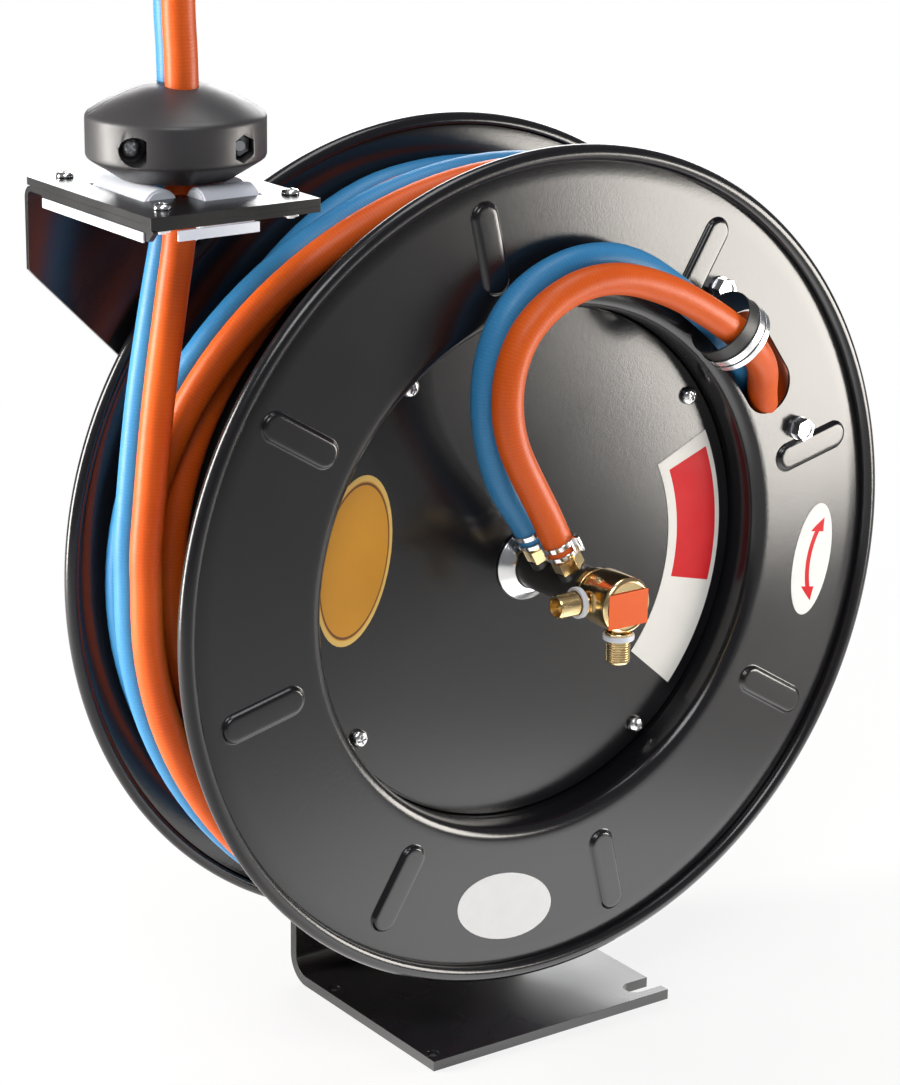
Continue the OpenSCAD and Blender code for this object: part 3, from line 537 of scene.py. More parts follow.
def hose(name, line, body, material, node, ends_at_zero=False, sides=28):
    """A hose along a line in reel millimetres, with a map that runs along it in metres."""
    path = [on_reel(*p) for p in line]
    rings, faces = [], []
    side = None
    gone = [0.0]
    for a, b in zip(path, path[1:]):
        gone.append(gone[-1] + (b - a).length)
    length = gone[-1]
    if ends_at_zero:
        gone = [g - length for g in gone]
    for i, centre in enumerate(path):
        way = (path[min(i + 1, len(path) - 1)] - path[max(i - 1, 0)]).normalized()
        if side is None:
            side = way.cross(Vector((0, 1, 0))).normalized()
        side = (side - way * side.dot(way)).normalized()
        other = way.cross(side)
        for k in range(sides):
            a = 2 * math.pi * k / sides
            rings.append(centre + (side * math.cos(a) + other * math.sin(a)) * HOSE_R * mm)
    last = len(path) - 1
    for i in range(last):
        for k in range(sides):
            j = (k + 1) % sides
            faces.append((i * sides + k, i * sides + j, (i + 1) * sides + j, (i + 1) * sides + k))
    faces.append(tuple(range(sides))[::-1])
    faces.append(tuple(last * sides + k for k in range(sides)))
    mesh = bpy.data.meshes.new(name)
    mesh.from_pydata(rings, [], faces)
    layer = mesh.uv_layers.new(name="along")
    around = 2 * math.pi * HOSE_R * mm
    for p in mesh.polygons:
        quad = len(p.loop_indices) == 4
        for c, index in enumerate(p.loop_indices):
            v = mesh.loops[index].vertex_index
            k = v % sides
            if quad and c in (1, 2) and k == 0:
                k = sides
            layer.data[index].uv = (around * k / sides, gone[v // sides])
    made = bpy.data.objects.new(name, mesh)
    bpy.context.scene.collection.objects.link(made)
    edit(made)
    bpy.ops.mesh.normals_make_consistent(inside=False)
    done()
    smooth(made, 60)
    hand_over(made, name, body, material, node)
    return made, path, length


def ease(t):
    return t * t * (3 - 2 * t)


WIND_END = 1272
WIND_END_R = 171.5
# The winding's angle in degrees, its radius and its depth.
WIND_ROWS = [(0, 220.5, 65.5), (70, 213, 55), (272, 213, 55), (362, 208, 97.3), (400, 204.5, 97.3),
    (640, 204.5, 97.3), (680, 191, 97.3), (722, 188.5, 97.3), (745, 186.5, 97.3), (866, 186.5, 62),
    (925, 192.5, 33), (965, 198, 20.8), (1020, 205, 20.8), (1160, 205, 20.8),
    (WIND_END, WIND_END_R, 24)]
# Places across, behind the rim and above the axle, along the middle of each hose or pair.
RUN_POINTS = [(-193.8, 65.7, 226.9), (-194.8, 65.7, 215), (-196, 65.7, 200), (-202.5, 65.6, 165),
    (-211.7, 65.5, 112), (-218, 65.5, 60), (-220.5, 65.5, 34), (-220.5, 65.5, 17)]
OUTLET_POINTS = [(-192.6, 65.7, 228), (-192.6, 65.7, 250), (-192.6, 65.7, 272),
    (-193, 65.7, 290), (-194, 65.7, 311), (-194, 65.7, 334)]
ORANGE_POINTS = [(-12, -25, 20.8), (-18, -25, 31.2), (-24, -25.5, 43), (-37, -26, 65),
    (-48, -26.5, 86), (-52.5, -27, 106), (-51, -27.5, 127), (-43, -28, 145), (-28, -28.5, 158.5),
    (-7, -29, 167), (16, -29.5, 168), (43, -30, 160.5), (68, -30.2, 149)]
BLUE_POINTS = [(-12, 0, 20.8), (-18, 0, 31.2), (-26, -0.5, 42), (-38, -3, 58), (-47, -6, 79),
    (-52.5, -8.5, 103), (-51.5, -10, 129), (-42, -11, 151.5), (-26, -11.5, 165.5), (-4, -12, 174),
    (23, -12, 175), (47, -12.5, 167), (70, -12.8, 152)]
PAIR_TWIST = math.radians(17)
# The dive from the front through the hole is two equal bends, out and back.
DIVE_Y = (-21.5, 24)
DIVE_BEND = 68
STRAIGHT = 17
DIVE_TURN = math.acos(1 - (DIVE_Y[1] - DIVE_Y[0]) / (2 * DIVE_BEND))
DIVE_START_R = 163
DIVE_END_R = math.hypot(WIND_END_R, STRAIGHT)
WIND_END_ANGLE = WIND_END + 180 - 1440 + math.degrees(math.atan(STRAIGHT / WIND_END_R))
DIVE_LEN = 2 * DIVE_BEND * math.sin(DIVE_TURN)


def wind_point(u, side):
    """Where one hose of the pair lies after u degrees of the winding."""
    a, b = next((a, b) for a, b in zip(WIND_ROWS, WIND_ROWS[1:]) if u <= b[0])
    t = ease((u - a[0]) / (b[0] - a[0]))
    r = a[1] + (b[1] - a[1]) * t
    w = math.radians(u)
    depth = a[2] + (b[2] - a[2]) * t + side * HALF_PITCH
    return Vector((-r * math.cos(w), depth, -r * math.sin(w)))


def wind_end(side, beyond=0):
    """The straight end of the winding, towards the hole in the front sheet."""
    a = math.radians(WIND_END)
    return wind_point(WIND_END, side) + (STRAIGHT + beyond) * Vector((math.sin(a), 0, -math.cos(a)))


def winding_line(side):
    turns = [wind_point(0, side) + Vector((0, 0, STRAIGHT))]
    turns += [wind_point(u, side) for u in range(0, WIND_END, 3)]
    return turns + [wind_point(WIND_END, side), wind_end(side)]


def dive_point(t, side):
    """Where one hose of the pair is at a share t of the dive."""
    a = DIVE_TURN * (2 * t if t < 0.5 else 2 - 2 * t)
    off = side * HALF_PITCH
    if t < 0.5:
        along = (DIVE_BEND - off) * math.sin(a)
        over = DIVE_BEND - (DIVE_BEND - off) * math.cos(a)
    else:
        along = DIVE_LEN - (DIVE_BEND + off) * math.sin(a)
        drop = 2 * DIVE_BEND * (1 - math.cos(DIVE_TURN))
        over = drop - DIVE_BEND + (DIVE_BEND + off) * math.cos(a)
    r = DIVE_START_R + (DIVE_END_R - DIVE_START_R) * ease(t)
    w = math.radians(WIND_END_ANGLE) + (DIVE_LEN - along) / DIVE_END_R
    return Vector((r * math.cos(w), DIVE_Y[0] + over, r * math.sin(w)))


SOFT_FROM, SOFT_TO = 30, 80


def jumper_line(points, side):
    """Over the cover in its own curve, then in one soft bend through the hole."""
    dive = [dive_point(0.04 + 0.08 * k, side) for k in range(12)]
    drawn = smooth_line(list(points) + dive + [wind_end(side, 5), wind_end(side)])
    line = []
    for near, soft in zip(relaxed(drawn), relaxed(drawn, 45)):
        share = min(1, max(0, (near.x - SOFT_FROM) / (SOFT_TO - SOFT_FROM)))
        line.append(near.lerp(soft, ease(share)))
    return line


def twisted(points, side, straightens):
    """One hose of a pair that leaves the reel turned by PAIR_TWIST."""
    line = []
    for i, p in enumerate(points):
        turn = PAIR_TWIST * (ease(max(0, 1 - i / 5)) if straightens else 1)
        line.append(Vector(p) + side * HALF_PITCH * Vector((math.sin(turn), math.cos(turn), 0)))
    return smooth_line(line)


def build_hoses():
    """All the hose there is; gives back the two outlets."""
    outlets = []
    for side, shade, material, points in ((1, "blue", BLUE, BLUE_POINTS),
                                          (-1, "orange", ORANGE, ORANGE_POINTS)):
        hose("wound_hose_" + shade, winding_line(side), "drum", material, "hose_winding_" + shade)
        hose("taut_hose_" + shade, twisted(RUN_POINTS, side, True), "frame", material,
             "hose_run_" + shade, ends_at_zero=True)
        jumper, path, length = hose("jumper_" + shade, jumper_line(points, side), "drum", material,
                                    "jumper_hose_" + shade)
        outlets.append(hose("outlet_" + shade, twisted(OUTLET_POINTS, side, False),
                            "hose_end", material, "hose_outlet_" + shade))
    return outlets


outlets = build_hoses()


# ------------------------------------------------------------------ pressed flanges
SHEET_Y = 1.75
BEAD_R, BEAD_THICK = 230.5, 3.75
BEAD_SWEEP = math.radians(322)
RIBS, RIB_FIRST, RIB_R = 8, -13.5, 190
RIB_STEPS = ((0.5, 0.12), (0.5, 0.5), (0.45, 0.75), (0.45, 0.65), (0.6, 0.33), (0.8, 0.12),
             (1.2, 0.03))
HOLE_ANGLE, HOLE_R = 35.2, 172


def bead(steps=22):
    """The rolled rim, from the sheet forward, over the outside and back."""
    start = math.pi - math.asin(SHEET_Y / BEAD_THICK)
    points = []
    for k in range(steps + 1):
        a = start + BEAD_SWEEP * k / steps
        points.append((BEAD_R + BEAD_THICK * math.cos(a), BEAD_THICK * math.sin(a)))
    return points


def pressed_rib():
    """One pressed rib lying flat: an obround raised in small insets, soft at foot and top."""
    made = obround(52.5, 17.5, 14, 5e-5)
    for inset, rise in RIB_STEPS:
        bpy.ops.mesh.inset(thickness=inset * mm, depth=rise * mm)
    done()
    smooth(made, 60)
    return made


def hose_hole():
    """The obround that is cut through the front sheet, turned onto its place."""
    made = obround(68, 33, 24, 1e-5)
    bpy.ops.transform.translate(value=(0, 0, -15 * mm))
    bpy.ops.mesh.extrude_region_move(TRANSFORM_OT_translate={"value": (0, 0, 30 * mm)})
    bpy.ops.mesh.select_all(action="SELECT")
    bpy.ops.mesh.normals_make_consistent(inside=False)
    done()
    return put(made, Matrix.Rotation(math.radians(-HOLE_ANGLE), 4, "Z")
               @ Matrix.Translation((HOLE_R * mm, 0, 0)) @ Matrix.Rotation(QUARTER, 4, "Z"))


def flange(front):
    """A sheet turned from the hub outwards: its dish, its lip, the flat and the rolled rim."""
    cup = [(17, 58.25), (30, 58.25), (52, 58.25), (90, 58.25), (143.6, 58.25), (145.6, 57.6),
           (146.6, 56.2), (146.75, 54.5), (146.75, 34), (146.75, 14), (146.85, 10.5)]
    lip = []
    for degrees in (0, 18, 36, 54, 72, 90):
        a = math.radians(degrees)
        lip.append((154 - 6.25 * math.cos(a) - 0.6 * (1 - degrees / 90), 8 - 6.25 * math.sin(a)))
    flat = [(r, SHEET_Y) for r in (157, 165, 190, 215, 225.6)]
    made = ring_by_ring(cup + lip + flat + bead(), sides=300, capped=False)
    skin = made.modifiers.new("sheet", "SOLIDIFY")
    skin.thickness = 1.5 * mm
    skin.offset = 0
    apply_all(made)
    smooth(made, 40)
    if front:
        carve(made, hose_hole())
    rib = pressed_rib()
    ribs = []
    for k in range(RIBS):
        turn = Matrix.Rotation(math.radians(RIB_FIRST - 360 / RIBS * k), 4, "Z")
        ribs.append(copy_of(rib, turn @ Matrix.Translation((RIB_R * mm, 0, 1.02 * mm))
                            @ Matrix.Rotation(math.pi, 4, "X")))
    bpy.data.objects.remove(rib)
    made = join(made, *ribs)
    if front:
        return put(made, TO_REEL)
    back = Matrix.Translation((0, 0, REEL_WIDTH * mm)) @ Matrix.Rotation(math.pi, 4, "X")
    return put(made, TO_REEL @ back)


hand_over(flange(True), "front_flange_pressed", "drum", SATIN, "front_flange")
hand_over(flange(False), "rear_flange_pressed", "drum", SATIN, "rear_flange")

# ------------------------------------------------------------------ plain nodes with rounded edges
EASED = [
    ("base_frame", 0.7, GLOSS), ("guide_arm", 0.6, GLOSS), ("roller_top_plate", 0.6, GLOSS),
    ("spring_cover", 0.7, SATIN), ("spring_case", 0.4, SATIN), ("hub", 0.8, SATIN),
    ("hose_core", 1.0, RUBBER), ("arm_bolts", 0.5, ZINC), ("hub_bolts", 0.5, ZINC),
    ("axle", 0.6, ZINC), ("axle_washer", 0.4, ZINC), ("axle_nut", 0.8, ZINC),
    ("spring_arbor", 0.4, ZINC), ("roller_pins", 0.3, ZINC), ("pawl_pin", 0.5, ZINC),
    ("ratchet_pawl", 0.5, ZINC), ("ratchet_ring", 0.5, ZINC), ("ratchet_screws", 0.4, ZINC),
    ("clamp_bolts", 0.45, ZINC), ("cuff_bands", 0.25, ZINC),
    ("hose_cuff", 0.5, RUBBER), ("front_bush", 0.3, BRASS), ("rear_bush", 0.3, BRASS),
    ("hose_tails", 0.5, BRASS), ("swivel_collar", 0.6, BRASS), ("end_fittings", 0.5, BRASS),
    ("swivel_sleeve", 0.6, SLEEVE), ("nipple_seals", 0.5, NYLON),
    ("roller_front", 1.0, NYLON), ("roller_rear", 1.0, NYLON), ("roller_left", 1.0, NYLON),
    ("roller_right", 1.0, NYLON),
]
made_nodes = {node: eased(node, width, material) for node, width, material in EASED}
dress("power_spring", SPRING)
dress("pawl_spring", SPRING)

# ------------------------------------------------------------------ screws with a cross recess
def cross_head(r, h):
    """A domed head standing on its seat, with a cross driven into it."""
    dome = [(r * 0.94, 0), (r, h * 0.12), (r, h * 0.30), (r * 0.93, h * 0.62), (r * 0.76, h * 0.84),
            (r * 0.5, h * 0.96), (r * 0.2, h), (0.05, h)]
    head = ring_by_ring(dome, 48)
    slit = (r * 1.15 * mm, r * 0.30 * mm, h * 1.1 * mm)
    arms = [block(slit, (0, 0, h * mm), turn + 0.4) for turn in (0, QUARTER)]
    carve(head, *arms)
    return round_edges(head, 0.12, 2, 40)


COVER_SCREW_R, COVER_SCREW_ANGLE, COVER_Y = 136.5, 35.7, 23
GUIDE_TOP_Z = 222.5


def screws():
    """The heads on the cover, and those on the guide with their own shanks and nuts."""
    head = cross_head(5, 4)
    heads = []
    for k in range(4):
        seat = spoke(COVER_SCREW_R, COVER_SCREW_ANGLE + 90 * k, COVER_Y)
        place = Matrix.Translation(seat) @ Matrix.Rotation(QUARTER, 4, "X")
        heads.append(copy_of(head, place @ Matrix.Rotation(k * 0.7, 4, "Z")))
    bpy.data.objects.remove(head)
    made = join(*heads)
    smooth(made)
    hand_over(made, "cover_screw_heads", "drum", BRIGHT, "cover_screws")

    head = cross_head(4.6, 3)
    shanks = merged_copy("guide_screws", lambda p: p.z < AXLE_Z + GUIDE_TOP_Z + 0.1)
    heads = [round_edges(shanks, 0.4, 2)]
    for k, (x, y) in enumerate(((-231, 17), (-157, 17), (-231, 115), (-157, 115))):
        place = Matrix.Translation(on_reel(x, y, GUIDE_TOP_Z))
        heads.append(copy_of(head, place @ Matrix.Rotation(k * 0.9, 4, "Z")))
    bpy.data.objects.remove(head)
    made = join(*heads)
    smooth(made)
    hand_over(made, "guide_screws_finished", "frame", BRIGHT, "guide_screws")


screws()


# ------------------------------------------------------------------ swivel
SIDE_INLET_Y, DOWN_INLET_Y = -47, -59.5
THREAD_FROM, THREAD_TO, THREAD_PITCH = 20.4, 32.0, 1.337


def nipple():
    """An inlet along Z from its body: collar, thread and a wide countersunk mouth."""
    collar = [(4.9, 9), (4.9, 15.6), (7.3, 15.6), (7.5, 15.9), (7.5, 16.7), (7.3, 17.0),
              (5.9, 17.0), (5.9, 20.1)]
    thread = []
    h = THREAD_FROM
    while h < THREAD_TO:
        thread += [(6.05, h), (6.48, h + 0.45), (6.48, h + 0.75), (6.05, h + 1.2)]
        h += THREAD_PITCH
    mouth = [(6.05, 32.3), (5.6, 33.0), (5.2, 33.0), (3.9, 27.0), (2.6, 25.5), (2.5, 9), (4.9, 9)]
    return ring_by_ring(collar + thread + mouth, 64, capped=False)


def swivel():
    """The brass body on the axle's end, with one inlet to the side and one down."""
    side = put(nipple(), Matrix.Translation(on_reel(0, SIDE_INLET_Y, 0))
               @ Matrix.Rotation(-QUARTER, 4, "Y"))
    down = put(nipple(), Matrix.Translation(on_reel(0, DOWN_INLET_Y, 0))
               @ Matrix.Rotation(math.pi, 4, "X"))
    for made, node in ((side, "inlet_nipple_side"), (down, "inlet_nipple_down")):
        smooth(made, 25)
        hand_over(made, node + "_turned", "frame", BRASS, node)
    barrel = [(7.1, -40.5), (12.6, -40.5), (13.2, -41.2), (13.2, -43.0), (15.2, -44.6),
              (15.5, -45.6), (15.5, -64.8), (15.2, -65.6), (14.4, -66.5), (13.6, -66.9),
              (13.1, -66.6), (12.7, -66.3), (0.05, -66.3)]
    body = ring_by_ring(barrel, 96, capped=False)
    edit(body)
    bpy.ops.mesh.select_non_manifold(use_multi_face=False)
    bpy.ops.mesh.edge_face_add()
    bpy.ops.mesh.select_all(action="SELECT")
    bpy.ops.mesh.normals_make_consistent(inside=False)
    done()
    put(body, TO_REEL)
    smooth(body, 30)
    hand_over(body, "swivel_body_turned", "frame", BRASS, "swivel_body")


swivel()


def cup():
    """The bright dished cup round the swivel's sleeve."""
    rings = [(12.1, 22.0), (12.1, 16.4), (12.6, 15.9), (13.4, 16.0), (15.2, 17.2), (17.0, 18.6),
             (18.9, 20.2), (19.9, 21.1), (20.4, 21.5), (20.5, 21.9), (20.3, 22.4), (19.4, 22.9),
             (13.5, 22.9), (12.1, 22.0)]
    made = put(ring_by_ring(rings, 96, capped=False), TO_REEL)
    smooth(made, 50)
    hand_over(made, "bearing_cup_dished", "drum", BRIGHT, "bearing_cup")


cup()


# ------------------------------------------------------------------ ball stop
SPLIT = math.radians(-19.7)
HALF_GAP = 0.15
STOP_PLACE = Matrix.Translation(on_reel(-194, 65.75, 227.8)) @ Matrix.Rotation(SPLIT, 4, "Z")
BOLT_X, BOLT_Z = 27, 18.75
BORE_X = 1.4


def ball_profile():
    """From the middle of the foot, up the sloping base, round the band and over the crown."""
    band, high, r = 31.7, 46.5, 45.75
    shoulder, crown = 44.7, 12
    line = [(0.05, 0), (20, 0), (28.5, 0), (29.6, 0.2), (30.6, 0.9), (35, 3.7), (40, 6.9),
            (44, 9.4), (45.2, 10.4), (45.7, 11.6), (r, 13.5), (r, 22), (r, band - 2),
            (45.65, band - 1.0), (45.3, band - 0.2), (shoulder, band + 0.6)]
    for k in range(1, 16):
        t = k / 16
        rise = (high - band - 0.6) * (1 - (1 - t) ** 1.5)
        line.append((shoulder - (shoulder - crown) * t, band + 0.6 + rise))
    line += [(crown, high), (0.05, high)]
    return line


def bolt_way(side):
    """From the ball's middle to one of its bolts, with Z towards the head."""
    return (Matrix.Translation((side * BOLT_X * mm, 0, BOLT_Z * mm))
            @ Matrix.Rotation(-side * QUARTER, 4, "X"))


def stop_half(front):
    """One half of the ball, with its recesses for the bolts and its half of the two bores."""
    made = ring_by_ring(ball_profile(), 128)
    edit(made)
    face = -HALF_GAP if front else HALF_GAP
    bpy.ops.mesh.bisect(plane_co=(0, face * mm, 0), plane_no=(0, 1, 0), use_fill=True,
                        clear_outer=front, clear_inner=not front)
    done()
    tools = []
    for side in (-1, 1):
        for radius, sides, where in ((7.5, 48, 30), (7.2, 6, -30)):
            tools.append(put(rod(radius, 20, sides, where), bolt_way(side)))
    for side in (-1, 1):
        apart = Vector((0, side * HALF_PITCH * mm, 0))
        centre = Vector((BORE_X * mm, 0, 0)) + Matrix.Rotation(-PAIR_TWIST, 3, "Z") @ apart
        place = Matrix.Rotation(-SPLIT, 4, "Z") @ Matrix.Translation(centre)
        tools.append(put(rod(8.7, 120, 48), place))
    carve(made, *tools)
    round_edges(made, 0.5, 2, 34)
    put(made, STOP_PLACE)
    smooth(made, 34)
    name = "front" if front else "rear"
    hand_over(made, "ball_half_" + name, "hose_end", BALL, "stop_half_" + name)


def stop_bolts():
    """Two bolts deep in the halves: a cross head in the round recess, a nut in the other."""
    parts = []
    for side in (-1, 1):
        place = STOP_PLACE @ bolt_way(side)
        head = cross_head(5.2, 3.6)
        put(head, place @ Matrix.Translation((0, 0, 20 * mm)) @ Matrix.Rotation(0.5, 4, "Z"))
        shank = put(ring_by_ring([(2.7, -27.5), (3, -27), (3, 20.5)], 40), place)
        nut = soften(rod(6, 4.6, 6, -22.4), 0.5, 2)
        parts += [head, shank, put(nut, place)]
    made = join(*parts)
    smooth(made)
    hand_over(made, "stop_bolts_deep", "hose_end", ZINC, "stop_bolts")


stop_half(True)
stop_half(False)
stop_bolts()


# ------------------------------------------------------------------ ear clamps and guide trim
TAIL_DEPTHS = (0, -25)
TAIL_TURN = math.radians(-120)
EAR_TURN = math.radians(-60)
# Corners of the pale strips that paint the backdrop's reflection onto the guide's lips.
LIP_STRIPS = (((-248.2, 6, 209.6), (-247.1, 108, 214.6)),
              ((-232, -0.9, 209.6), (-186, 1.2, 214.8)))


def ear_clamps():
    """On each tail a band with two bright edges, its bridge and a pinched ear."""
    parts = []
    for depth in TAIL_DEPTHS:
        place = (Matrix.Translation(on_reel(0, depth, 0)) @ Matrix.Rotation(TAIL_TURN, 4, "Y")
                 @ Matrix.Rotation(QUARTER, 4, "Y"))
        for low, high in ((24.6, 27.4), (30.6, 33.9)):
            band = ring_by_ring([(8.55, low), (9.35, low), (9.6, low + 0.3), (9.6, high - 0.3),
                                 (9.35, high), (8.55, high), (8.55, low)], 72, capped=False)
            parts.append(put(band, place))
        for width, tall, thick in ((7, 9.3, 1.0), (2.2, 9.3, 4.6)):
            middle = ((9.1 + thick / 2) * mm, 0, 29.25 * mm)
            bridge = soften(block((thick * mm, width * mm, tall * mm), middle), 0.35, 2)
            parts.append(put(bridge, place @ Matrix.Rotation(EAR_TURN, 4, "Z")))
    made = join(*parts)
    smooth(made)
    hand_over(made, "ear_clamps", "drum", BRIGHT, "tail_clamps")


def lip_strips():
    """Pale nylon strips on the guide's two front lips: a painted reflection of the white backdrop
    on the gloss black lips.
    """
    parts = []
    for corners in LIP_STRIPS:
        low, high = (on_reel(*corner) for corner in corners)
        parts.append(soften(block(high - low, (low + high) / 2), 0.4, 3))
    made = join(*parts)
    smooth(made)
    hand_over(made, "lip_reflection_strips", "frame", NYLON)


ear_clamps()
lip_strips()


# ------------------------------------------------------------------ labels
RED_FROM_R, RED_TO_R = 106, 134
RED_FROM, RED_TO = math.radians(-14), math.radians(21)
BOW_MIDDLE, BOW_R, BOW_WIDTH = 46, 48.5, 1.6
HEAD_FROM, HEAD_TIP, HEAD_SLOPE = 16.5, 25, 0.55


def radial(f, x, z, turn=0.0, across=1.0, up=1.0):
    """Coordinates on a label: its own x and z over the half sizes, and their length."""
    mapping = f.node("ShaderNodeMapping", vector_type="TEXTURE")
    mapping.inputs["Location"].default_value = (x * mm, 0, (z + AXLE_Z) * mm)
    mapping.inputs["Rotation"].default_value = (0, -math.radians(turn), 0)
    mapping.inputs["Scale"].default_value = (across * mm, 1e6, up * mm)
    f.link(f.place, mapping.inputs["Vector"])
    length = f.node("ShaderNodeVectorMath", operation="LENGTH")
    f.link(mapping.outputs["Vector"], length.inputs[0])
    return mapping.outputs["Vector"], length.outputs["Value"]


def red_print(f):
    return f.blend(f.noise(80, 3), (0.56, 0.006, 0.012), (0.66, 0.012, 0.018))


def between(f, value, low, high):
    inside = f.math("GREATER_THAN", value, low)
    return f.math("MULTIPLY", inside, f.math("LESS_THAN", value, high))


def gold_label():
    """A plain gold field with a dark line inside its edge."""
    f = Finish("gold foil label", 0.34, coat=0.1, coat_roughness=0.2)
    f.set("Specular IOR Level", 0.3)
    _, e = radial(f, -113.9, 20.7, 79.7, 47, 23)
    field = f.blend(f.noise(35, 4), (0.62, 0.265, 0.014), (0.72, 0.33, 0.022))
    edge = f.blend(f.math("GREATER_THAN", e, 0.93), field, (0.80, 0.52, 0.14))
    f.colour(f.blend(between(f, e, 0.885, 0.915), edge, (0.16, 0.055, 0.012)))
    f.rough(f.span(f.noise(60, 3), 0.28, 0.42))
    f.bump(f.noise(700, 2), 0.08, 0.0001)
    return f.mat


def band_label():
    """White paper round the axle with a plain red field."""
    f = Finish("white band label", 0.45)
    f.set("Specular IOR Level", 0.12)
    place, r = radial(f, 0, 0)
    parts = f.node("ShaderNodeSeparateXYZ")
    f.link(place, parts.inputs[0])
    angle = f.math("ARCTAN2", parts.outputs["Z"], parts.outputs["X"])
    field = f.math("MULTIPLY", between(f, r, RED_FROM_R, RED_TO_R),
                   between(f, angle, RED_FROM, RED_TO))
    paper = f.blend(f.noise(60, 3), (0.74, 0.73, 0.70), (0.82, 0.81, 0.78))
    f.colour(f.blend(field, paper, red_print(f)))
    f.rough(f.span(f.noise(90, 3), 0.4, 0.52))
    f.bump(f.noise(900, 2), 0.06, 0.0001)
    return f.mat


def plain_print(name, low, high):
    f = Finish(name, 0.45)
    f.set("Specular IOR Level", 0.3)
    f.colour(f.blend(f.noise(140, 3), low, high))
    f.rough(f.span(f.noise(90, 3), 0.38, 0.52))
    f.bump(f.noise(900, 2), 0.05, 0.0001)
    return f.mat


def arrow_label():
    """White paper with a plain red two-headed arrow: the drum turns both ways."""
    f = Finish("white arrow label", 0.42)
    f.set("Specular IOR Level", 0.12)
    place, _ = radial(f, 190, -24.5, 80.3)
    parts = f.node("ShaderNodeSeparateXYZ")
    f.link(place, parts.inputs[0])
    along = f.math("ABSOLUTE", parts.outputs["X"])
    far = f.math("ADD", parts.outputs["Z"], BOW_MIDDLE)
    out = f.math("SQRT", f.math("ADD", f.math("POWER", along, 2), f.math("POWER", far, 2)))
    off = f.math("ABSOLUTE", f.math("SUBTRACT", out, BOW_R))
    head = f.math("MULTIPLY", f.math("SUBTRACT", HEAD_TIP, along), HEAD_SLOPE)
    width = f.math("ADD", f.math("MULTIPLY", f.math("LESS_THAN", along, HEAD_FROM), BOW_WIDTH),
                   f.math("MULTIPLY", f.math("GREATER_THAN", along, HEAD_FROM), head))
    paper = f.blend(f.noise(60, 3), (0.76, 0.76, 0.75), (0.84, 0.84, 0.83))
    f.colour(f.blend(f.math("LESS_THAN", off, width), paper, red_print(f)))
    f.rough(f.span(f.noise(90, 3), 0.36, 0.48))
    f.bump(f.noise(900, 2), 0.05, 0.0001)
    return f.mat


dress("cover_oval_label", gold_label())
dress("cover_arc_label", band_label())
dress("arrow_label", arrow_label())
dress("oval_label", plain_print("white oval label", (0.76, 0.76, 0.76), (0.83, 0.83, 0.84)))
dress("swivel_label", plain_print("orange label", (0.80, 0.10, 0.008), (0.86, 0.13, 0.012)))


# ------------------------------------------------------------------ stage and light
UNDER_REEL = (0.12, -0.15, 0)
WARM = (1, 0.95, 0.88)
PANEL_SIZE = (0.503, 0.376)
PANEL_TURN = 0.436


def soft_step(tree, value, start, end, low, high):
    """Goes smoothly from low at start to high at end."""
    made = tree.nodes.new("ShaderNodeMapRange")
    made.interpolation_type = "SMOOTHSTEP"
    for socket, number in (("From Min", start), ("From Max", end), ("To Min", low),
                           ("To Max", high)):
        made.inputs[socket].default_value = number
    tree.links.new(value, made.inputs["Value"])
    return made.outputs["Result"]


def times(tree, first, second):
    made = tree.nodes.new("ShaderNodeMath")
    made.operation = "MULTIPLY"
    tree.links.new(first, made.inputs[0])
    tree.links.new(second, made.inputs[1])
    return made.outputs[0]


def pale_floor():
    """Paper that turns white to the camera further out and keeps the shadow under the reel; close
    to the reel it glows for glossy rays only, a painted reflection.
    """
    mat = bpy.data.materials.new("pale floor")
    mat.use_nodes = True
    tree = mat.node_tree
    paper = tree.nodes["Principled BSDF"]
    paper.inputs["Base Color"].default_value = (0.72, 0.72, 0.72, 1)
    paper.inputs["Roughness"].default_value = 0.9
    white = tree.nodes.new("ShaderNodeEmission")
    white.inputs["Strength"].default_value = 1.0
    ray = tree.nodes.new("ShaderNodeLightPath")
    place = tree.nodes.new("ShaderNodeTexCoord")
    away = tree.nodes.new("ShaderNodeVectorMath")
    away.operation = "DISTANCE"
    away.inputs[1].default_value = UNDER_REEL
    tree.links.new(place.outputs["Object"], away.inputs[0])
    distance = away.outputs["Value"]
    far = soft_step(tree, distance, 0.35, 1.5, 0.80, 1.0)
    mix = tree.nodes.new("ShaderNodeMixShader")
    tree.links.new(times(tree, ray.outputs["Is Camera Ray"], far), mix.inputs[0])
    tree.links.new(paper.outputs[0], mix.inputs[1])
    tree.links.new(white.outputs[0], mix.inputs[2])
    # Painted reflection: close to the reel the floor glows for glossy rays only, so glossy faces
    # mirror a bright floor there.
    near = soft_step(tree, distance, 0.40, 0.10, 0.0, 2.2)
    glossy_glow = tree.nodes.new("ShaderNodeEmission")
    tree.links.new(times(tree, near, ray.outputs["Is Glossy Ray"]), glossy_glow.inputs["Strength"])
    both = tree.nodes.new("ShaderNodeAddShader")
    tree.links.new(mix.outputs[0], both.inputs[0])
    tree.links.new(glossy_glow.outputs[0], both.inputs[1])
    tree.links.new(both.outputs[0], tree.nodes["Material Output"].inputs["Surface"])
    return mat


def stage():
    settle()
    bpy.ops.mesh.primitive_plane_add(size=12, location=(0, 0, -0.0004))
    floor = bpy.context.object
    floor.name = "floor"
    floor.data.materials.append(pale_floor())


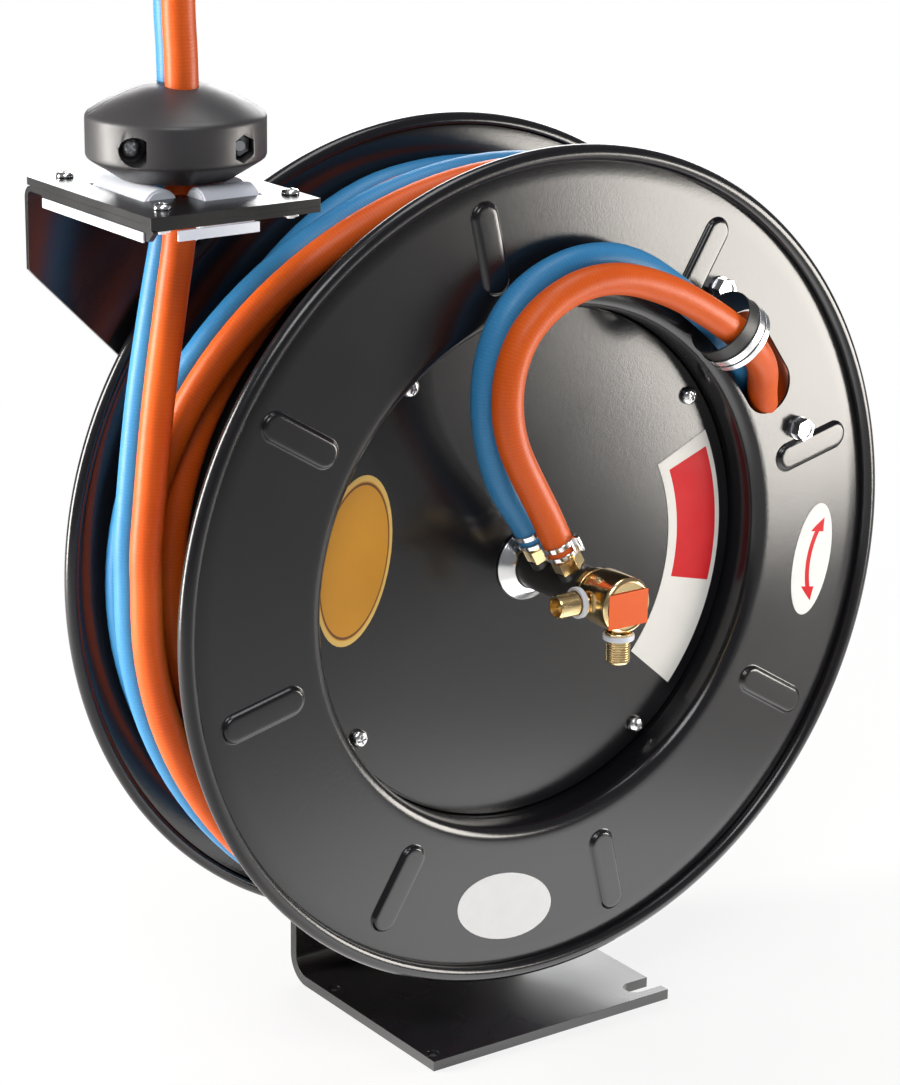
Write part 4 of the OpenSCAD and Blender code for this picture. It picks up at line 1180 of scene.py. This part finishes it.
def light(name, place, aim, size, power, colour=(1, 1, 1), turn=0.0, gloss_only=False):
    """A soft area lamp, turned about its own axis; one for gloss only adds no other light."""
    data = bpy.data.lights.new(name, "AREA")
    data.shape = "RECTANGLE"
    data.size, data.size_y = size
    data.energy = power
    data.color = colour
    lamp = bpy.data.objects.new(name, data)
    bpy.context.scene.collection.objects.link(lamp)
    lamp.location = place
    facing = (Vector(aim) - Vector(place)).to_track_quat("-Z", "Y").to_matrix()
    lamp.rotation_euler = (facing @ Matrix.Rotation(turn, 3, "Z")).to_euler()
    lamp.visible_camera = False
    lamp.visible_diffuse = not gloss_only


def surroundings():
    """A dim even world that the camera sees as white."""
    world = bpy.data.worlds.new("studio")
    world.use_nodes = True
    bpy.context.scene.world = world
    tree = world.node_tree
    plain = tree.nodes["Background"]
    plain.inputs["Color"].default_value = (0.92, 0.95, 1, 1)
    plain.inputs["Strength"].default_value = 0.20
    white = tree.nodes.new("ShaderNodeBackground")
    white.inputs["Color"].default_value = (1, 1, 1, 1)
    white.inputs["Strength"].default_value = 1.0
    ray = tree.nodes.new("ShaderNodeLightPath")
    mix = tree.nodes.new("ShaderNodeMixShader")
    tree.links.new(ray.outputs["Is Camera Ray"], mix.inputs[0])
    tree.links.new(plain.outputs[0], mix.inputs[1])
    tree.links.new(white.outputs[0], mix.inputs[2])
    tree.links.new(mix.outputs[0], tree.nodes["World Output"].inputs["Surface"])
    bpy.context.scene.view_settings.view_transform = "Standard"


stage()
surroundings()
light("key softbox", (-0.9, -1.3, 1.9), (0, 0, 0.3), (0.9, 0.9), 18)
light("left strip", (-1.25, 0.62, 0.55), (-0.19, 0, 0.45), (0.45, 1.1), 42, (1, 0.97, 0.92))
light("low right panel", (0.749, -0.547, 0.308), (0.126, 0.197, 0.549), PANEL_SIZE, 5.5, WARM,
      PANEL_TURN)
light("low right sheen", (0.757, -0.556, 0.305), (0.134, 0.188, 0.546), PANEL_SIZE, 4.5, WARM,
      PANEL_TURN, gloss_only=True)
light("back softbox", (1.0, 1.45, 0.95), (-0.15, 0, 0.45), (1.5, 0.8), 22)
light("top softbox", (0.1, -0.1, 1.9), (0, 0, 0.3), (0.9, 0.6), 8)
